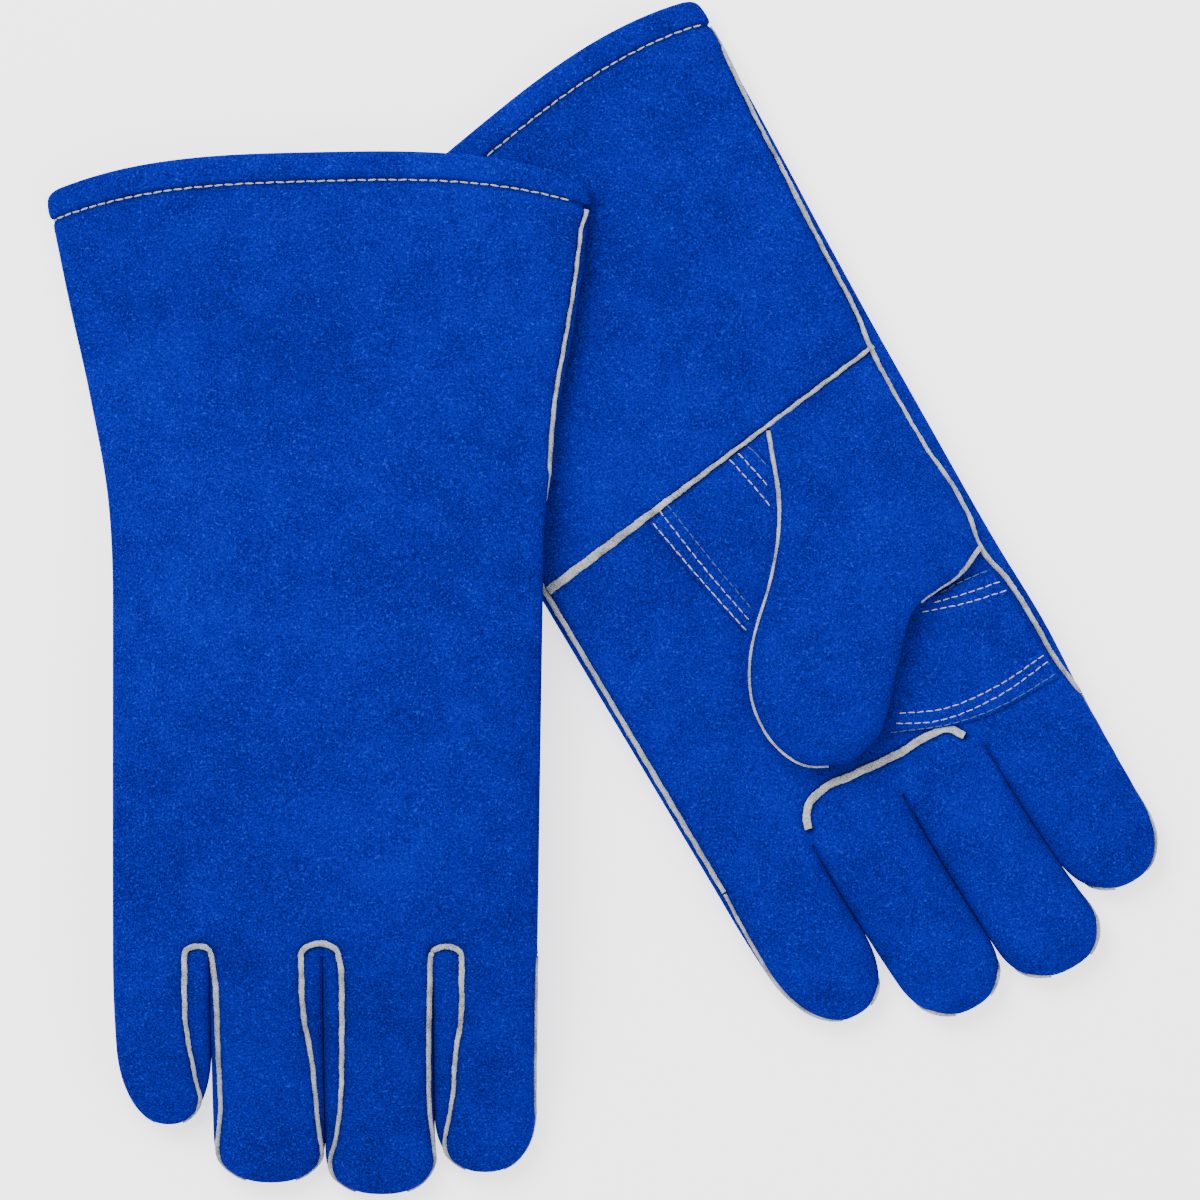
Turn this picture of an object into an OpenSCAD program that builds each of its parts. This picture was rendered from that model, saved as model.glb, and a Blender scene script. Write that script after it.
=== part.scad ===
// A pair of lined leather gauntlet gloves lying on a bench. The left glove lies palm up
// with its thumb folded over the palm. The right glove lies back up, partly over its cuff.
// Every glove is drawn in its own flat pattern: x runs across to the thumb side, y runs up
// to the cuff, and the fingers point down. "back" is the +1 face and "palm" the -1 face.

/* [Hand] */
// Width of the hand across the knuckles
hand_w = 145; // [135:1:152]
// Length from the wrist seam to the fold at the knuckles
hand_l = 129.3; // [124:0.1:136]
// Thickness of the padded hand
hand_t = 22; // [20:0.5:25]
// Rise of the wrist seam for each millimetre towards the thumb
wrist_lean = 0.133; // [0.1:0.001:0.15]

/* [Fingers] */
// Lengths past the knuckle fold on the right glove, from little to index
right_finger_l = [58, 78, 82, 74.4]; // [50:0.1:90]
// Lengths past the knuckle fold on the left glove, from little to index
left_finger_l = [58.5, 76, 80.6, 65]; // [50:0.1:90]
// Thickness of a fingertip before it rounds off
tip_t = 16; // [14:0.5:18]
// Thickness of the thumb, which lies over the palm
thumb_t = 16; // [14:0.5:18]

/* [Cuff] */
// Width of the open end
cuff_w = 186; // [172:1:192]
// Length from the wrist seam to the top of the hem
cuff_l = 144.7; // [130:0.1:155]
// Thickness of the cuff at the open end
cuff_t = 15; // [14:0.5:18]
// Distance of the hem stitching below the turned edge
hem_l = 9; // [6:0.5:14]

/* [Leather and seams] */
// Thickness of the leather
leather_t = 1.4; // [1:0.1:1.8]
// Thickness of the fleece lining
lining_t = 1.9; // [1.5:0.1:2.4]
// Width of the strips sewn into the seams
welt_w = 2.2; // [1.6:0.1:3]
// Width of a row of stitches
stitch_w = 0.8; // [0.6:0.1:1.2]
// Air left between neighbouring pieces
gap = 0.3; // [0.2:0.05:0.4]

/* [Hidden] */
RIGHT = 0;
LEFT = 1;
BACK = 1;
PALM = -1;
FINGERS = ["little", "ring", "middle", "index"];
half_w = hand_w / 2;
wrist_y = 8.3;
knuckle_y = wrist_y - hand_l;
scale_w = hand_w / 145;
scale_y = hand_l / 129.3;
lining_d = leather_t + gap;
lining_in = lining_d + lining_t;
finger_l = [right_finger_l, left_finger_l];

// Where the two gloves lie: the right one straight, the left one turned.
right_at = [-94.31, -0.81];
left_at = [41.59, 37.46];
left_turn = 29.4;

// Side edges at the knuckles and wrist as shares of half the hand's width.
knuckle_share = [[-1, 1], [-0.952, 1]];
wrist_share = [[-1, 1.03], [-0.993, 1]];
// The cuffs swing a little towards the little finger.
cuff_shift = [-2, -18.5];
// How a cuff widens on its way from the wrist to the hem.
flare = [[-1, 0], [0, 0], [0.25, 0.09], [0.5, 0.39], [0.75, 0.69], [1, 1]];
// Hem: its slope across the cuff and the drop of its corners.
hem_slope = [0, 15.5];
hem_drop = [13, 15];
hem_top = [0, -4.5];

// Finger boundaries across the knuckles.
boundary = [[-39, -0.5, 37] * scale_w, [-32.5, 3, 36] * scale_w];
// Seams of each finger on its back, as places on its outline (see fold).
finger_seam = [[-1.1, 0.5], [-0.88, 0.66], [-0.65, 0.88], [-0.49, 1.1]];
// Side seams of hand and cuff: thumb side, then little side.
hand_seam = [[1.03, -1.03], [1.035, -1.035]];
cuff_seam = [[0.955, -1.03], [1.03, -1.035]];
// Half the slot between two panels, which a welt fills, as a share of half the width.
slot = (welt_w / 2 + gap / 2) / half_w;
finger_slot = 4 * slot;

// The thumb opens out of the palm along a line from the wrist seam to the crotch corner.
thumb_start = [23.5 * scale_w, 9.4];
thumb_corner = [67.6 * scale_w, -60.7 * scale_y];
wing_corner = [67.8 * scale_w, 15];
// Ribs across the thumb from that line to its tip: [left point, right point].
thumb_ribs = [
    [thumb_start, thumb_corner],
    [[15.4, -11], [57.3, -65]],
    [[8, -23.6], [47.4, -65.8]],
    [[-0.4, -34], [41.5, -66.5]],
    [[-13, -47], [36, -68.5]],
    [[-19.7, -55], [31.7, -72]],
    [[-26, -67], [25, -79]],
    [[-27.4, -79], [18.7, -85.6]],
    [[-25, -89], [12, -94]],
    [[-20, -97], [5, -99.5]],
    [[-10.5, -102], [-4.5, -102.6]]
];
thumb_rib_count = len(thumb_ribs) - 1;
thumb_axis_l = 105;
patch_low = 0.4;
patch_top = patch_low + leather_t;
// Air between the patch and the thumb folded over it.
thumb_air = 0.7;
thumb_floor = patch_top + thumb_air;

// Lift of the right glove over its own thumb and over the left cuff.
thumb_clearance = 0.4;
cuff_clearance = 1.4;
thumb_lift = thumb_t + thumb_floor + thumb_clearance;
cuff_lift = cuff_t + cuff_clearance;
// How far a welt or stitch stands out of an upper face. On a face on the bench it lies flush.
stand_out = 0.7;

function mix(a, b, t) = a + (b - a) * t;
function ease(a, b, x) = let (t = min(1, max(0, (x - a) / (b - a)))) t * t * (3 - 2 * t);
function bulge(s, n) = pow(max(0, 1 - pow(abs(s), n)), 1 / n);
function up(glove) = glove == RIGHT ? 1 : -1;

// Places round an outline: -1 to 1 crosses the back, 1 to 3 crosses the palm, and so on round.
function fold(q) = let (m = q - 4 * floor((q + 1) / 4)) m <= 1 ? [m, BACK] : [2 - m, PALM];

// Rows along the glove: -1 at the knuckles, 0 at the wrist seam, 1 at the hem.
function side_x(glove, row, side) =
    let (
        at_wrist = mix(knuckle_share[glove][side], wrist_share[glove][side], row + 1) * half_w,
        wrist_end = wrist_share[glove][side] * half_w,
        hem_end = cuff_shift[glove] + (side == 0 ? -1 : 1) * cuff_w / 2
    )
    row <= 0 ? at_wrist : mix(wrist_end, hem_end, lookup(row, flare));
function mid_x(glove, row) = (side_x(glove, row, 0) + side_x(glove, row, 1)) / 2;
function reach(glove, row) = (side_x(glove, row, 1) - side_x(glove, row, 0)) / 2;
function wrist_line(x) = wrist_y + wrist_lean * x;
function hem_line(glove, x) =
    let (s = (x - mid_x(glove, 1)) / reach(glove, 1))
    wrist_y + cuff_l + hem_top[glove] + hem_slope[glove] * s
    - hem_drop[glove] * pow(min(1.2, abs(s)), 3);
function row_y(glove, row, x) =
    row <= 0 ? mix(knuckle_y, wrist_line(x), row + 1)
    : mix(wrist_line(x), hem_line(glove, x), row);
function row_at(glove, x, y) =
    y <= wrist_line(x) ? (y - knuckle_y) / (wrist_line(x) - knuckle_y) - 1
    : min(1, (y - wrist_line(x)) / (hem_line(glove, x) - wrist_line(x)));
function half_t(row) =
    lookup(row, [[-1, hand_t * 0.48], [-0.5, hand_t / 2], [0, hand_t * 0.43], [1, cuff_t / 2]]);
function crease(glove, row, x) =
    1 - 0.4 * ease(-0.82, -1, row)
    * max([for (b = boundary[glove]) max(0, 1 - abs(x - b) / 7)]);

// Height that the right glove lies above the bench.
function lift(x, y) =
    let (
        over_thumb = thumb_lift * ease(-195, -100, y) * (1 - ease(18, 85, y))
            * mix(0.5, 1, ease(-78, -28, x)),
        from_left = 0.68 * (x + 17) + 0.73 * (y - 90),
        over_cuff = cuff_lift * ease(-35, 13, from_left)
    )
    over_thumb + over_cuff - over_thumb * over_cuff / max(thumb_lift, cuff_lift);
function turned(p) = [
    left_at[0] + p[0] * cos(left_turn) - p[1] * sin(left_turn),
    left_at[1] + p[0] * sin(left_turn) + p[1] * cos(left_turn),
    p[2]
];
// A point of the pattern in its place on the bench. middle is the height of its mid-plane.
function place(glove, x, y, z, middle) =
    glove == RIGHT ? [x + right_at[0], y + right_at[1], middle + z + lift(x, y)] : turned([x, y, middle - z]);

// A point on the hand or cuff, depth millimetres inside the leather's outer face.
function skin(glove, row, q, depth) =
    let (
        f = fold(q),
        x = mid_x(glove, row) + (reach(glove, row) - depth) * f[0],
        middle = half_t(row),
        z = f[1] * (middle - depth) * bulge(f[0], 3) * crease(glove, row, x)
    )
    place(glove, x, row_y(glove, row, x), z, middle);
// A point on one face over a place in the flat pattern, depth below that face.
function face_h(glove, x, y) =
    let (row = row_at(glove, x, y), s = (x - mid_x(glove, row)) / reach(glove, row))
    half_t(row) * bulge(min(0.995, abs(s)), 3) * crease(glove, row, x);
function on_face(glove, side, p, depth) =
    place(glove, p[0], p[1], side * (face_h(glove, p[0], p[1]) - depth),
        half_t(row_at(glove, p[0], p[1])));

// Fingers: 0 at the knuckle fold, 1 at the tip.
function finger_side(glove, i, side) =
    side == 0 ? (i == 0 ? side_x(glove, -1, 0) : boundary[glove][i - 1] + gap)
    : (i == 3 ? side_x(glove, -1, 1) : boundary[glove][i] - gap);
function rounding(t, from) = t < from ? 1 : max(0.05, bulge((t - from) / (1 - from), 2.3));
function finger_skin(glove, i, t, q, depth) =
    let (
        f = fold(q),
        a = finger_side(glove, i, 0),
        b = finger_side(glove, i, 1),
        length = finger_l[glove][i] * scale_y - gap - depth,
        tip = rounding(t, 0.68),
        reach = ((b - a) / 2 - depth) * tip * mix(1, 0.94, t),
        middle = mix(half_t(-1), tip_t / 2, t),
        squareness = mix(7, 2.7, ease(0, 0.4, t)),
        z = f[1] * (middle - depth) * tip * bulge(f[0], squareness)
    )
    place(glove, (a + b) / 2 + reach * f[0], knuckle_y - gap - length * t, z, middle);

// Thumb: 0 on its opening line, 1 at its tip.
function rib_point(t, side) = [
    lookup(t * thumb_rib_count, [for (i = [0:thumb_rib_count]) [i, thumb_ribs[i][side][0]]]),
    lookup(t * thumb_rib_count, [for (i = [0:thumb_rib_count]) [i, thumb_ribs[i][side][1]]])
];
opening_dir = (thumb_corner - thumb_start) / norm(thumb_corner - thumb_start);
opening_out = [-opening_dir[1], opening_dir[0]];
function thumb_h(t) = thumb_t / 2 * lookup(t, [[0, 0.86], [0.3, 1], [0.7, 1], [1, 0.75]]);
function thumb_skin(glove, t, q, depth) =
    let (
        f = fold(q),
        along = t * (1 - depth / thumb_axis_l),
        a = rib_point(along, 0),
        b = rib_point(along, 1),
        width = norm(b - a),
        s = f[0] * (1 - min(0.9, 2 * depth / width)),
        p = mix(a, b, (s + 1) / 2) - opening_out * gap * (1 - t),
        height = thumb_h(t),
        out = height + f[1] * (height - depth) * rounding(t, 0.75) * bulge(f[0], 2.6)
    )
    on_face(glove, PALM, p, -thumb_floor - out);
// The wing that carries the thumb: across runs from its opening to the seams, along the line.
function wing_edge(s) =
    s < 0 ? mix(thumb_start, wing_corner, s + 1) : mix(wing_corner, thumb_corner, s);
function wing_skin(glove, s, across, depth) =
    let (
        near = mix(thumb_start, thumb_corner, (s + 1) / 2) + opening_out * gap,
        p = mix(near, wing_edge(s), across),
        rise = (thumb_floor + thumb_h(0) * (1 + bulge(s, 2.6))) * (1 - ease(0, 1, across))
    )
    on_face(glove, PALM, p, depth - rise);

// A mesh is [points, triangles]. A shell closes an outer and an inner grid of points.
function quad(a, b, c, d) = [[a, b, c], [a, c, d]];
function shell(outer, inner, wrap = false, capped = false) =
    let (
        rows = len(outer),
        cols = len(outer[0]),
        last = rows - 1,
        steps = wrap ? cols : cols - 1,
        at = function (layer, r, c) layer * rows * cols + r * cols + c % cols,
        faces = [for (r = [0:rows - 2], c = [0:steps - 1]) each concat(
            quad(at(0, r, c), at(0, r, c + 1), at(0, r + 1, c + 1), at(0, r + 1, c)),
            quad(at(1, r, c), at(1, r + 1, c), at(1, r + 1, c + 1), at(1, r, c + 1)))],
        start = [for (c = [0:steps - 1]) each
            quad(at(0, 0, c), at(1, 0, c), at(1, 0, c + 1), at(0, 0, c + 1))],
        end = capped
            ? [for (c = [1:cols - 2]) each [
                [at(0, last, 0), at(0, last, c), at(0, last, c + 1)],
                [at(1, last, 0), at(1, last, c + 1), at(1, last, c)]]]
            : [for (c = [0:steps - 1]) each
                quad(at(0, last, c), at(0, last, c + 1), at(1, last, c + 1), at(1, last, c))],
        sides = wrap ? [] : [for (r = [0:rows - 2]) each concat(
            quad(at(0, r, 0), at(0, r + 1, 0), at(1, r + 1, 0), at(1, r, 0)),
            quad(at(0, r, cols - 1), at(1, r, cols - 1),
                at(1, r + 1, cols - 1), at(0, r + 1, cols - 1)))]
    )
    facing_out([[for (r = outer) each r, for (r = inner) each r], concat(faces, start, end, sides)]);
function facing_out(mesh) =
    let (
        parts = [for (f = mesh[1]) mesh[0][f[0]] * cross(mesh[0][f[1]], mesh[0][f[2]])],
        volume = parts * [for (p = parts) 1]
    )
    volume < 0 ? mesh : [mesh[0], [for (f = mesh[1]) [f[2], f[1], f[0]]]];
// Draws several separate meshes as one solid group.
module draw(meshes) {
    starts = [for (i = 0, n = 0; i < len(meshes); n = n + len(meshes[i][0]), i = i + 1) n];
    points = [for (m = meshes) each m[0]];
    faces = [for (i = [0:len(meshes) - 1], f = meshes[i][1]) f + starts[i] * [1, 1, 1]];
    polyhedron(points, faces);
}

// Outline places between two seams, denser where the section turns its edge.
broad = [-1, -0.985, -0.93, -0.78, -0.54, -0.27, 0, 0.26, 0.51, 0.78, 0.93, 0.985,
    1, 1.015, 1.07, 1.22, 1.49, 1.74, 2, 2.27, 2.54, 2.78, 2.93, 2.985];
narrow = [-1, -0.95, -0.75, -0.3, 0.3, 0.75, 0.95, 1, 1.05, 1.25, 1.7, 2.3, 2.75, 2.95];
function places(ring, a, b) = concat(
    [a], [for (turn = [-1:1], q = ring) if (q + 4 * turn > a + 0.01 && q + 4 * turn < b - 0.01)
        q + 4 * turn], [b]);
function spread(list, from, a, b) =
    let (first = list[0], last = list[len(list) - 1]) mix(a, b, (from - first) / (last - first));

// Half the slot at the wrist seam, as a share of the hand's length.
wrist_slot = (welt_w / 2 + gap) / hand_l;
hand_rows = [-1, -0.93, -0.82, -0.7, -0.565, -0.4, -0.2, -wrist_slot];
hem_row = 1 - hem_l / cuff_l;
lined_rows = [wrist_slot, 0.14, 0.32, 0.5, 0.66, 0.8, hem_row - 0.006];
cuff_rows = concat(lined_rows, [hem_row, 1]);
back_rows = concat([for (r = hand_rows) if (r < -0.1) r], [0], [for (r = cuff_rows) if (r > 0.1) r]);
corner_row = row_at(RIGHT, thumb_corner[0], thumb_corner[1]);
function seam(glove, row, side) =
    row < 0 ? hand_seam[glove][side]
    : mix(hand_seam[glove][side], cuff_seam[glove][side], ease(0, 0.3, row));
// The edge is turned in at the hem, so the leather is double there.
function inner_face(row) = row >= hem_row ? 2 * leather_t : leather_t;
function opening_x(row) =
    let (lean = (thumb_corner[0] - thumb_start[0]) / (thumb_corner[1] - thumb_start[1]))
    (thumb_corner[0] + lean * (knuckle_y - thumb_corner[1] + hand_l * (row + 1)))
    / (1 - lean * wrist_lean * (row + 1));
// Where the palm leather starts: at the side seam, or along the thumb's opening.
function palm_start(glove, row) =
    row < corner_row + 0.005 ? seam(glove, row, 0) + slot
    : 2 - (opening_x(row) - mid_x(glove, row)) / reach(glove, row);

// Places along each kind of row, shared by the leather and the lining behind it.
back_list = places(broad, -1.03, 1.03);
front_list = places(broad, 1.03, 2.97);
function back_places(glove, row) = [for (q = back_list)
    spread(back_list, q, seam(glove, row, 1) + slot, seam(glove, row, 0) - slot)];
function palm_places(glove, row) = [for (q = front_list)
    spread(front_list, q, palm_start(glove, row), 4 + seam(glove, row, 1) - slot)];
function cuff_places(glove, row) = [for (q = front_list)
    spread(front_list, q, seam(glove, row, 0) + slot, 4 + seam(glove, row, 1) - slot)];

module back_panel(glove) {
    function grid(inner) = [for (row = back_rows) [for (q = back_places(glove, row))
        skin(glove, row, q, inner * inner_face(row))]];
    color("royalblue") draw([shell(grid(0), grid(1))]);
}
module palm_panel(glove) {
    function grid(depth) = [for (row = hand_rows) [for (q = palm_places(glove, row))
        skin(glove, row, q, depth)]];
    color("royalblue") draw([shell(grid(0), grid(leather_t))]);
}
module cuff_front(glove) {
    function grid(inner) = [for (row = cuff_rows) [for (q = cuff_places(glove, row))
        skin(glove, row, q, inner * inner_face(row))]];
    color("royalblue") draw([shell(grid(0), grid(1))]);
}
module thumb_wing(glove) {
    function grid(depth) = [for (s = [-0.96, -0.85, -0.6, -0.3, 0, 0.3, 0.6, 0.85, 0.96])
        [for (across = [0, 0.25, 0.5, 0.75, 1]) wing_skin(glove, s, across, depth)]];
    color("royalblue") draw([shell(grid(0), grid(leather_t))]);
}

// The crescent sewn over the palm, under the thumb: [outer point, inner point] across it.
patch_ribs = [
    [[-27.5, 2.2], [16.8, 8.6]],
    [[-23, -22], [20, -6]],
    [[-17, -46], [25, -26]],
    [[-9, -70], [32, -45]],
    [[4, -95], [40, -60]],
    [[24, -107], [46, -66.5]],
    [[48, -112.5], [57, -67.5]],
    [[68.5, -112], [66, -68]]
];
module palm_patch(glove) {
    function grid(depth) = [for (rib = patch_ribs) [for (t = [0:0.2:1])
        on_face(glove, PALM, mix(rib[0], rib[1], t), depth)]];
    color("royalblue") draw([shell(grid(-patch_top), grid(-patch_low))]);
}

// A flat strip along a path in the pattern.
function strip(glove, side, path, width, low, high) =
    let (
        last = len(path) - 1,
        across = [for (i = [0:last])
            let (d = path[min(last, i + 1)] - path[max(0, i - 1)])
            [-d[1], d[0]] / norm(d) * width / 2],
        grid = function (depth) [for (i = [0:last])
            [on_face(glove, side, path[i] - across[i], depth),
            on_face(glove, side, path[i] + across[i], depth)]]
    )
    shell(grid(-high), grid(-low));
// Does an outline place look up, away from the bench?
function looks_up(glove, q) = fold(q)[1] == up(glove);
function proud(glove, q) = looks_up(glove, q) ? stand_out : 0;
// A welt in the slot along a side seam of hand and cuff.
function side_welt(glove, side) =
    let (
        half = welt_w / 2 / half_w,
        rows = [for (r = back_rows) r == -1 ? -0.995 : r],
        grid = function (inner) [for (row = rows) let (q = seam(glove, row, side))
            [for (k = [-1, 1]) skin(glove, row, q + k * half, inner ? leather_t : -proud(glove, q))]]
    )
    shell(grid(false), grid(true));
module seam_welts(glove) {
    wrist = places(broad, 1.06, 2.94);
    function across(inner) = [for (q = wrist) [for (k = [-1, 1])
        skin(glove, k * welt_w / 2 / hand_l, q, inner ? leather_t : -proud(glove, q))]];
    color("lightsteelblue") draw([
        shell(across(false), across(true)), side_welt(glove, 0), side_welt(glove, 1)
    ]);
}
// Tops of the strips that run round each gap between fingers, above the knuckle fold.
crotch_tops = [[-42.5, 5.5], [-2.5, 5.5], [42, 5.5]];
module crotch_welts(glove) {
    color("lightsteelblue") draw([for (top = crotch_tops)
        strip(glove, BACK, [for (a = [20:35:160])
            [top[0] * scale_w + top[1] * cos(a), knuckle_y + 0.8 + top[1] * 0.8 * sin(a)]],
            welt_w, -leather_t / 2, glove == RIGHT ? stand_out : 0)]);
}
module hand_lining(glove) {
    function grid(depth) = [for (row = hand_rows) [for (q = concat(palm_places(glove, row),
        back_places(glove, row) + [for (q = back_list) 4])) skin(glove, row, q, depth)]];
    color("lightslategray") draw([shell(grid(lining_d), grid(lining_in))]);
}
module cuff_lining(glove) {
    function grid(depth) = [for (row = lined_rows)
        [for (q = concat(back_places(glove, row), cuff_places(glove, row))) skin(glove, row, q, depth)]];
    color("lightslategray") draw([shell(grid(lining_d), grid(lining_in), wrap = true)]);
}

// Rows of stitches on the patch: three along each of its four edges, 3 mm or so apart.
patch_rows = [
    [[-26, 2], [-21, -24], [-15.7, -48]],
    [[-22, 5], [-18, -21], [-13.2, -45]],
    [[-18.6, 5.2], [-15, -18], [-10.6, -42]],
    [[7.6, 8.2], [10.5, -5], [12.3, -15.3]],
    [[11.2, 8.6], [13.5, -1], [15, -9.2]],
    [[15.2, 9], [16.8, 4], [18, -1.7]],
    [[66, -68.6], [56, -67.4], [46, -67.2]],
    [[66, -73.5], [54, -70.8], [44, -69.6]],
    [[66, -77.3], [54, -74.6], [41, -70.6]],
    [[68, -103.2], [50.8, -104.6], [29.3, -102.3], [14, -95.5]],
    [[68, -106], [48.9, -107.8], [24, -104.4], [11.5, -98]],
    [[68, -110.4], [48.9, -111], [31, -108.2], [9, -100.3]]
];
module stitching(glove) {
    half = stitch_w / cuff_l / 2;
    function hem(inner) = [for (k = [-1, 1]) let (row = hem_row + 0.004 + k * half)
        [for (q = concat(back_places(glove, row), cuff_places(glove, row)))
            skin(glove, row, q, inner ? leather_t : -proud(glove, q) / 2)]];
    rows = [for (path = patch_rows)
        strip(glove, PALM, path, stitch_w, patch_top - leather_t / 2, patch_top + stand_out / 2)];
    color("wheat") draw(concat([shell(hem(false), hem(true), wrap = true)], rows));
}

finger_steps = [0, 0.12, 0.3, 0.55, 0.74, 0.86, 0.94, 1];
module finger_panel(glove, i, a, b) {
    list = places(narrow, a, b);
    function grid(depth) = [for (t = finger_steps) [for (q = list) finger_skin(glove, i, t, q, depth)]];
    color("royalblue") draw([shell(grid(0), grid(leather_t))]);
}
module finger_back(glove, i) {
    finger_panel(glove, i, finger_seam[i][0] + finger_slot, finger_seam[i][1] - finger_slot);
}
module finger_front(glove, i) {
    finger_panel(glove, i, finger_seam[i][1] + finger_slot, finger_seam[i][0] + 4 - finger_slot);
}
module finger_welt(glove, i) {
    half = welt_w / 2 / (half_w / 4);
    function leg(q, inner) = [for (t = finger_steps) if (t < 0.97) [for (k = [-1, 1])
        finger_skin(glove, i, max(t, 0.03), q + k * half, inner ? leather_t : -proud(glove, q))]];
    color("lightsteelblue") draw([for (q = finger_seam[i]) shell(leg(q, false), leg(q, true))]);
}
module finger_lining(glove, i) {
    function grid(depth) = [for (t = finger_steps) [for (q = narrow) finger_skin(glove, i, t, q, depth)]];
    color("lightslategray") draw([shell(grid(lining_d), grid(lining_in), wrap = true, capped = true)]);
}

// Share of the thumb's half width that its welt takes at each edge.
thumb_slot = 0.09;
// Slots left beside the thumb's inner panel and its welts, in the same share.
inner_slot = 0.004;
welt_slot = 0.003;
thumb_steps = [0, 0.1, 0.2, 0.3, 0.42, 0.54, 0.66, 0.78, 0.88, 0.95, 1];
module thumb_panel(glove, a, b) {
    list = places(narrow, a, b);
    function grid(depth) = [for (t = thumb_steps) [for (q = list) thumb_skin(glove, t, q, depth)]];
    color("royalblue") draw([shell(grid(0), grid(leather_t))]);
}
module thumb_outer(glove) {
    thumb_panel(glove, thumb_slot - 1, 1 - thumb_slot);
}
module thumb_inner(glove) {
    thumb_panel(glove, 1 + inner_slot, 3 - inner_slot);
}
module thumb_welt(glove) {
    function leg(side, inner) = [for (t = thumb_steps) if (t < 0.93)
        [for (s = [welt_slot, thumb_slot - 2 * welt_slot])
            thumb_skin(glove, max(t, 0.02), side * (1 - s), inner ? leather_t : -stand_out / 2)]];
    color("lightsteelblue") draw([for (side = [-1, 1]) shell(leg(side, false), leg(side, true))]);
}
module thumb_lining(glove) {
    function grid(depth) = [for (t = thumb_steps) [for (q = narrow) thumb_skin(glove, t, q, depth)]];
    color("lightslategray") draw([shell(grid(lining_d), grid(lining_in), wrap = true, capped = true)]);
}

PIECES = ["back_panel", "palm_panel", "cuff_front", "thumb_wing", "palm_patch", "seam_welts",
    "crotch_welts", "hand_lining", "cuff_lining", "stitching",
    "thumb_outer", "thumb_inner", "thumb_welt", "thumb_lining"];
FINGER_PIECES = ["back", "front", "welt", "lining"];

module glove_pieces(glove, name) {
    back_panel(glove);
    palm_panel(glove);
    cuff_front(glove);
    thumb_wing(glove);
    palm_patch(glove);
    seam_welts(glove);
    crotch_welts(glove);
    hand_lining(glove);
    cuff_lining(glove);
    stitching(glove);
    thumb_outer(glove);
    thumb_inner(glove);
    thumb_welt(glove);
    thumb_lining(glove);
    for (i = [0:3]) {
        finger_back(glove, i);
        finger_front(glove, i);
        finger_welt(glove, i);
        finger_lining(glove, i);
    }
}
glove_pieces(RIGHT, "right");
glove_pieces(LEFT, "left");
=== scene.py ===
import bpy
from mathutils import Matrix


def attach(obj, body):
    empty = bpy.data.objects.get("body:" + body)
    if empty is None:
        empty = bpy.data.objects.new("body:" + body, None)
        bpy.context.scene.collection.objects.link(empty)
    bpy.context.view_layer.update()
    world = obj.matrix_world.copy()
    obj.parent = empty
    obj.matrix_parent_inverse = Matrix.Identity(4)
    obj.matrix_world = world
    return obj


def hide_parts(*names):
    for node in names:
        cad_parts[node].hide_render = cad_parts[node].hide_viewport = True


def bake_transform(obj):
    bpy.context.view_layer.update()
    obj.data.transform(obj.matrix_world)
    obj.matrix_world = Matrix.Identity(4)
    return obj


bl_info = {
    "name": "Welding Gauntlets",
    "version": (1, 0, 0),
    "blender": (4, 5, 0),
    "location": "3D View > Sidebar > Gloves",
    "description": "Builds the leather, welts, linings and stitches of a pair of gauntlets",
    "category": "Object",
}

import math
from functools import partial
from types import SimpleNamespace

import bpy
import numpy as np
from bpy.props import FloatProperty, FloatVectorProperty, PointerProperty

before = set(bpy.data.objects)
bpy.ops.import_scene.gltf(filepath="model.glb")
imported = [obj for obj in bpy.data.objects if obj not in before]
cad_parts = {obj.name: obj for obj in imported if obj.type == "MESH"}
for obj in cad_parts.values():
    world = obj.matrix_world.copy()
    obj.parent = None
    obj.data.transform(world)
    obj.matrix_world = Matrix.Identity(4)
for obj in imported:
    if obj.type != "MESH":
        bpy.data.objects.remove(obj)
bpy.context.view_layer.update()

MM = 0.001
RIGHT, LEFT = 0, 1
GLOVES = ((RIGHT, "right"), (LEFT, "left"))
FINGERS = ("little", "ring", "middle", "index")
BACK, PALM = 1, -1


# ---------------------------------------------------------------- pattern of a glove
# Every glove is worked out in its own flat pattern, in millimetres: x runs across to the
# thumb side, y runs up to the cuff, and the fingers point down. Rows run from -1 at the
# knuckles through 0 at the wrist seam to 1 at the hem. A place q goes round an outline:
# -1 to 1 crosses the back and 1 to 3 crosses the palm.

HALF_W = 72.5
WRIST_Y, HAND_L = 8.3, 129.3
KNUCKLE_Y = WRIST_Y - HAND_L
WRIST_LEAN = 0.133
CUFF_W, CUFF_L, CUFF_T = 186.0, 144.7, 15.0
HAND_T, TIP_T, THUMB_T = 22.0, 16.0, 16.0
HEM_L = 9.0
HEM_ROW = 1 - HEM_L / CUFF_L
HEM_START = HEM_ROW - 0.012
LEATHER_T, LINING_T, AIR, TOUCH = 1.4, 1.9, 0.3, -0.05
LINING_D = LEATHER_T + AIR
PATCH_LOW = 0.4
PATCH_TOP = PATCH_LOW + LEATHER_T
THUMB_AIR, THUMB_CLEARANCE, CUFF_CLEARANCE = 0.7, 0.4, 1.4
THUMB_FLOOR = PATCH_TOP + THUMB_AIR
KNUCKLE_SHARE = ((-1, 1.006), (-0.952, 1.008))
WRIST_SHARE = ((-1, 1.035), (-0.993, 1.01))
CUFF_SHIFT = (-2, -17.8)
FLARES = (((-1, 0), (0, 0), (0.25, 0.075), (0.5, 0.36), (0.75, 0.7), (1, 1)),
          ((-1, 0), (0, 0), (0.13, 0.07), (0.36, 0.3), (0.53, 0.56), (0.73, 0.81), (1, 1)))
HEM_SLOPE, HEM_DROP, HEM_TOP = (1.8, 16.8), (12, 14), (0, -5.6)
BOUNDARY = ((-39, -0.5, 37), (-32.5, 3, 36))
FINGER_L = ((58, 78, 82, 74.4), (58.5, 76, 80.6, 65))
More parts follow.
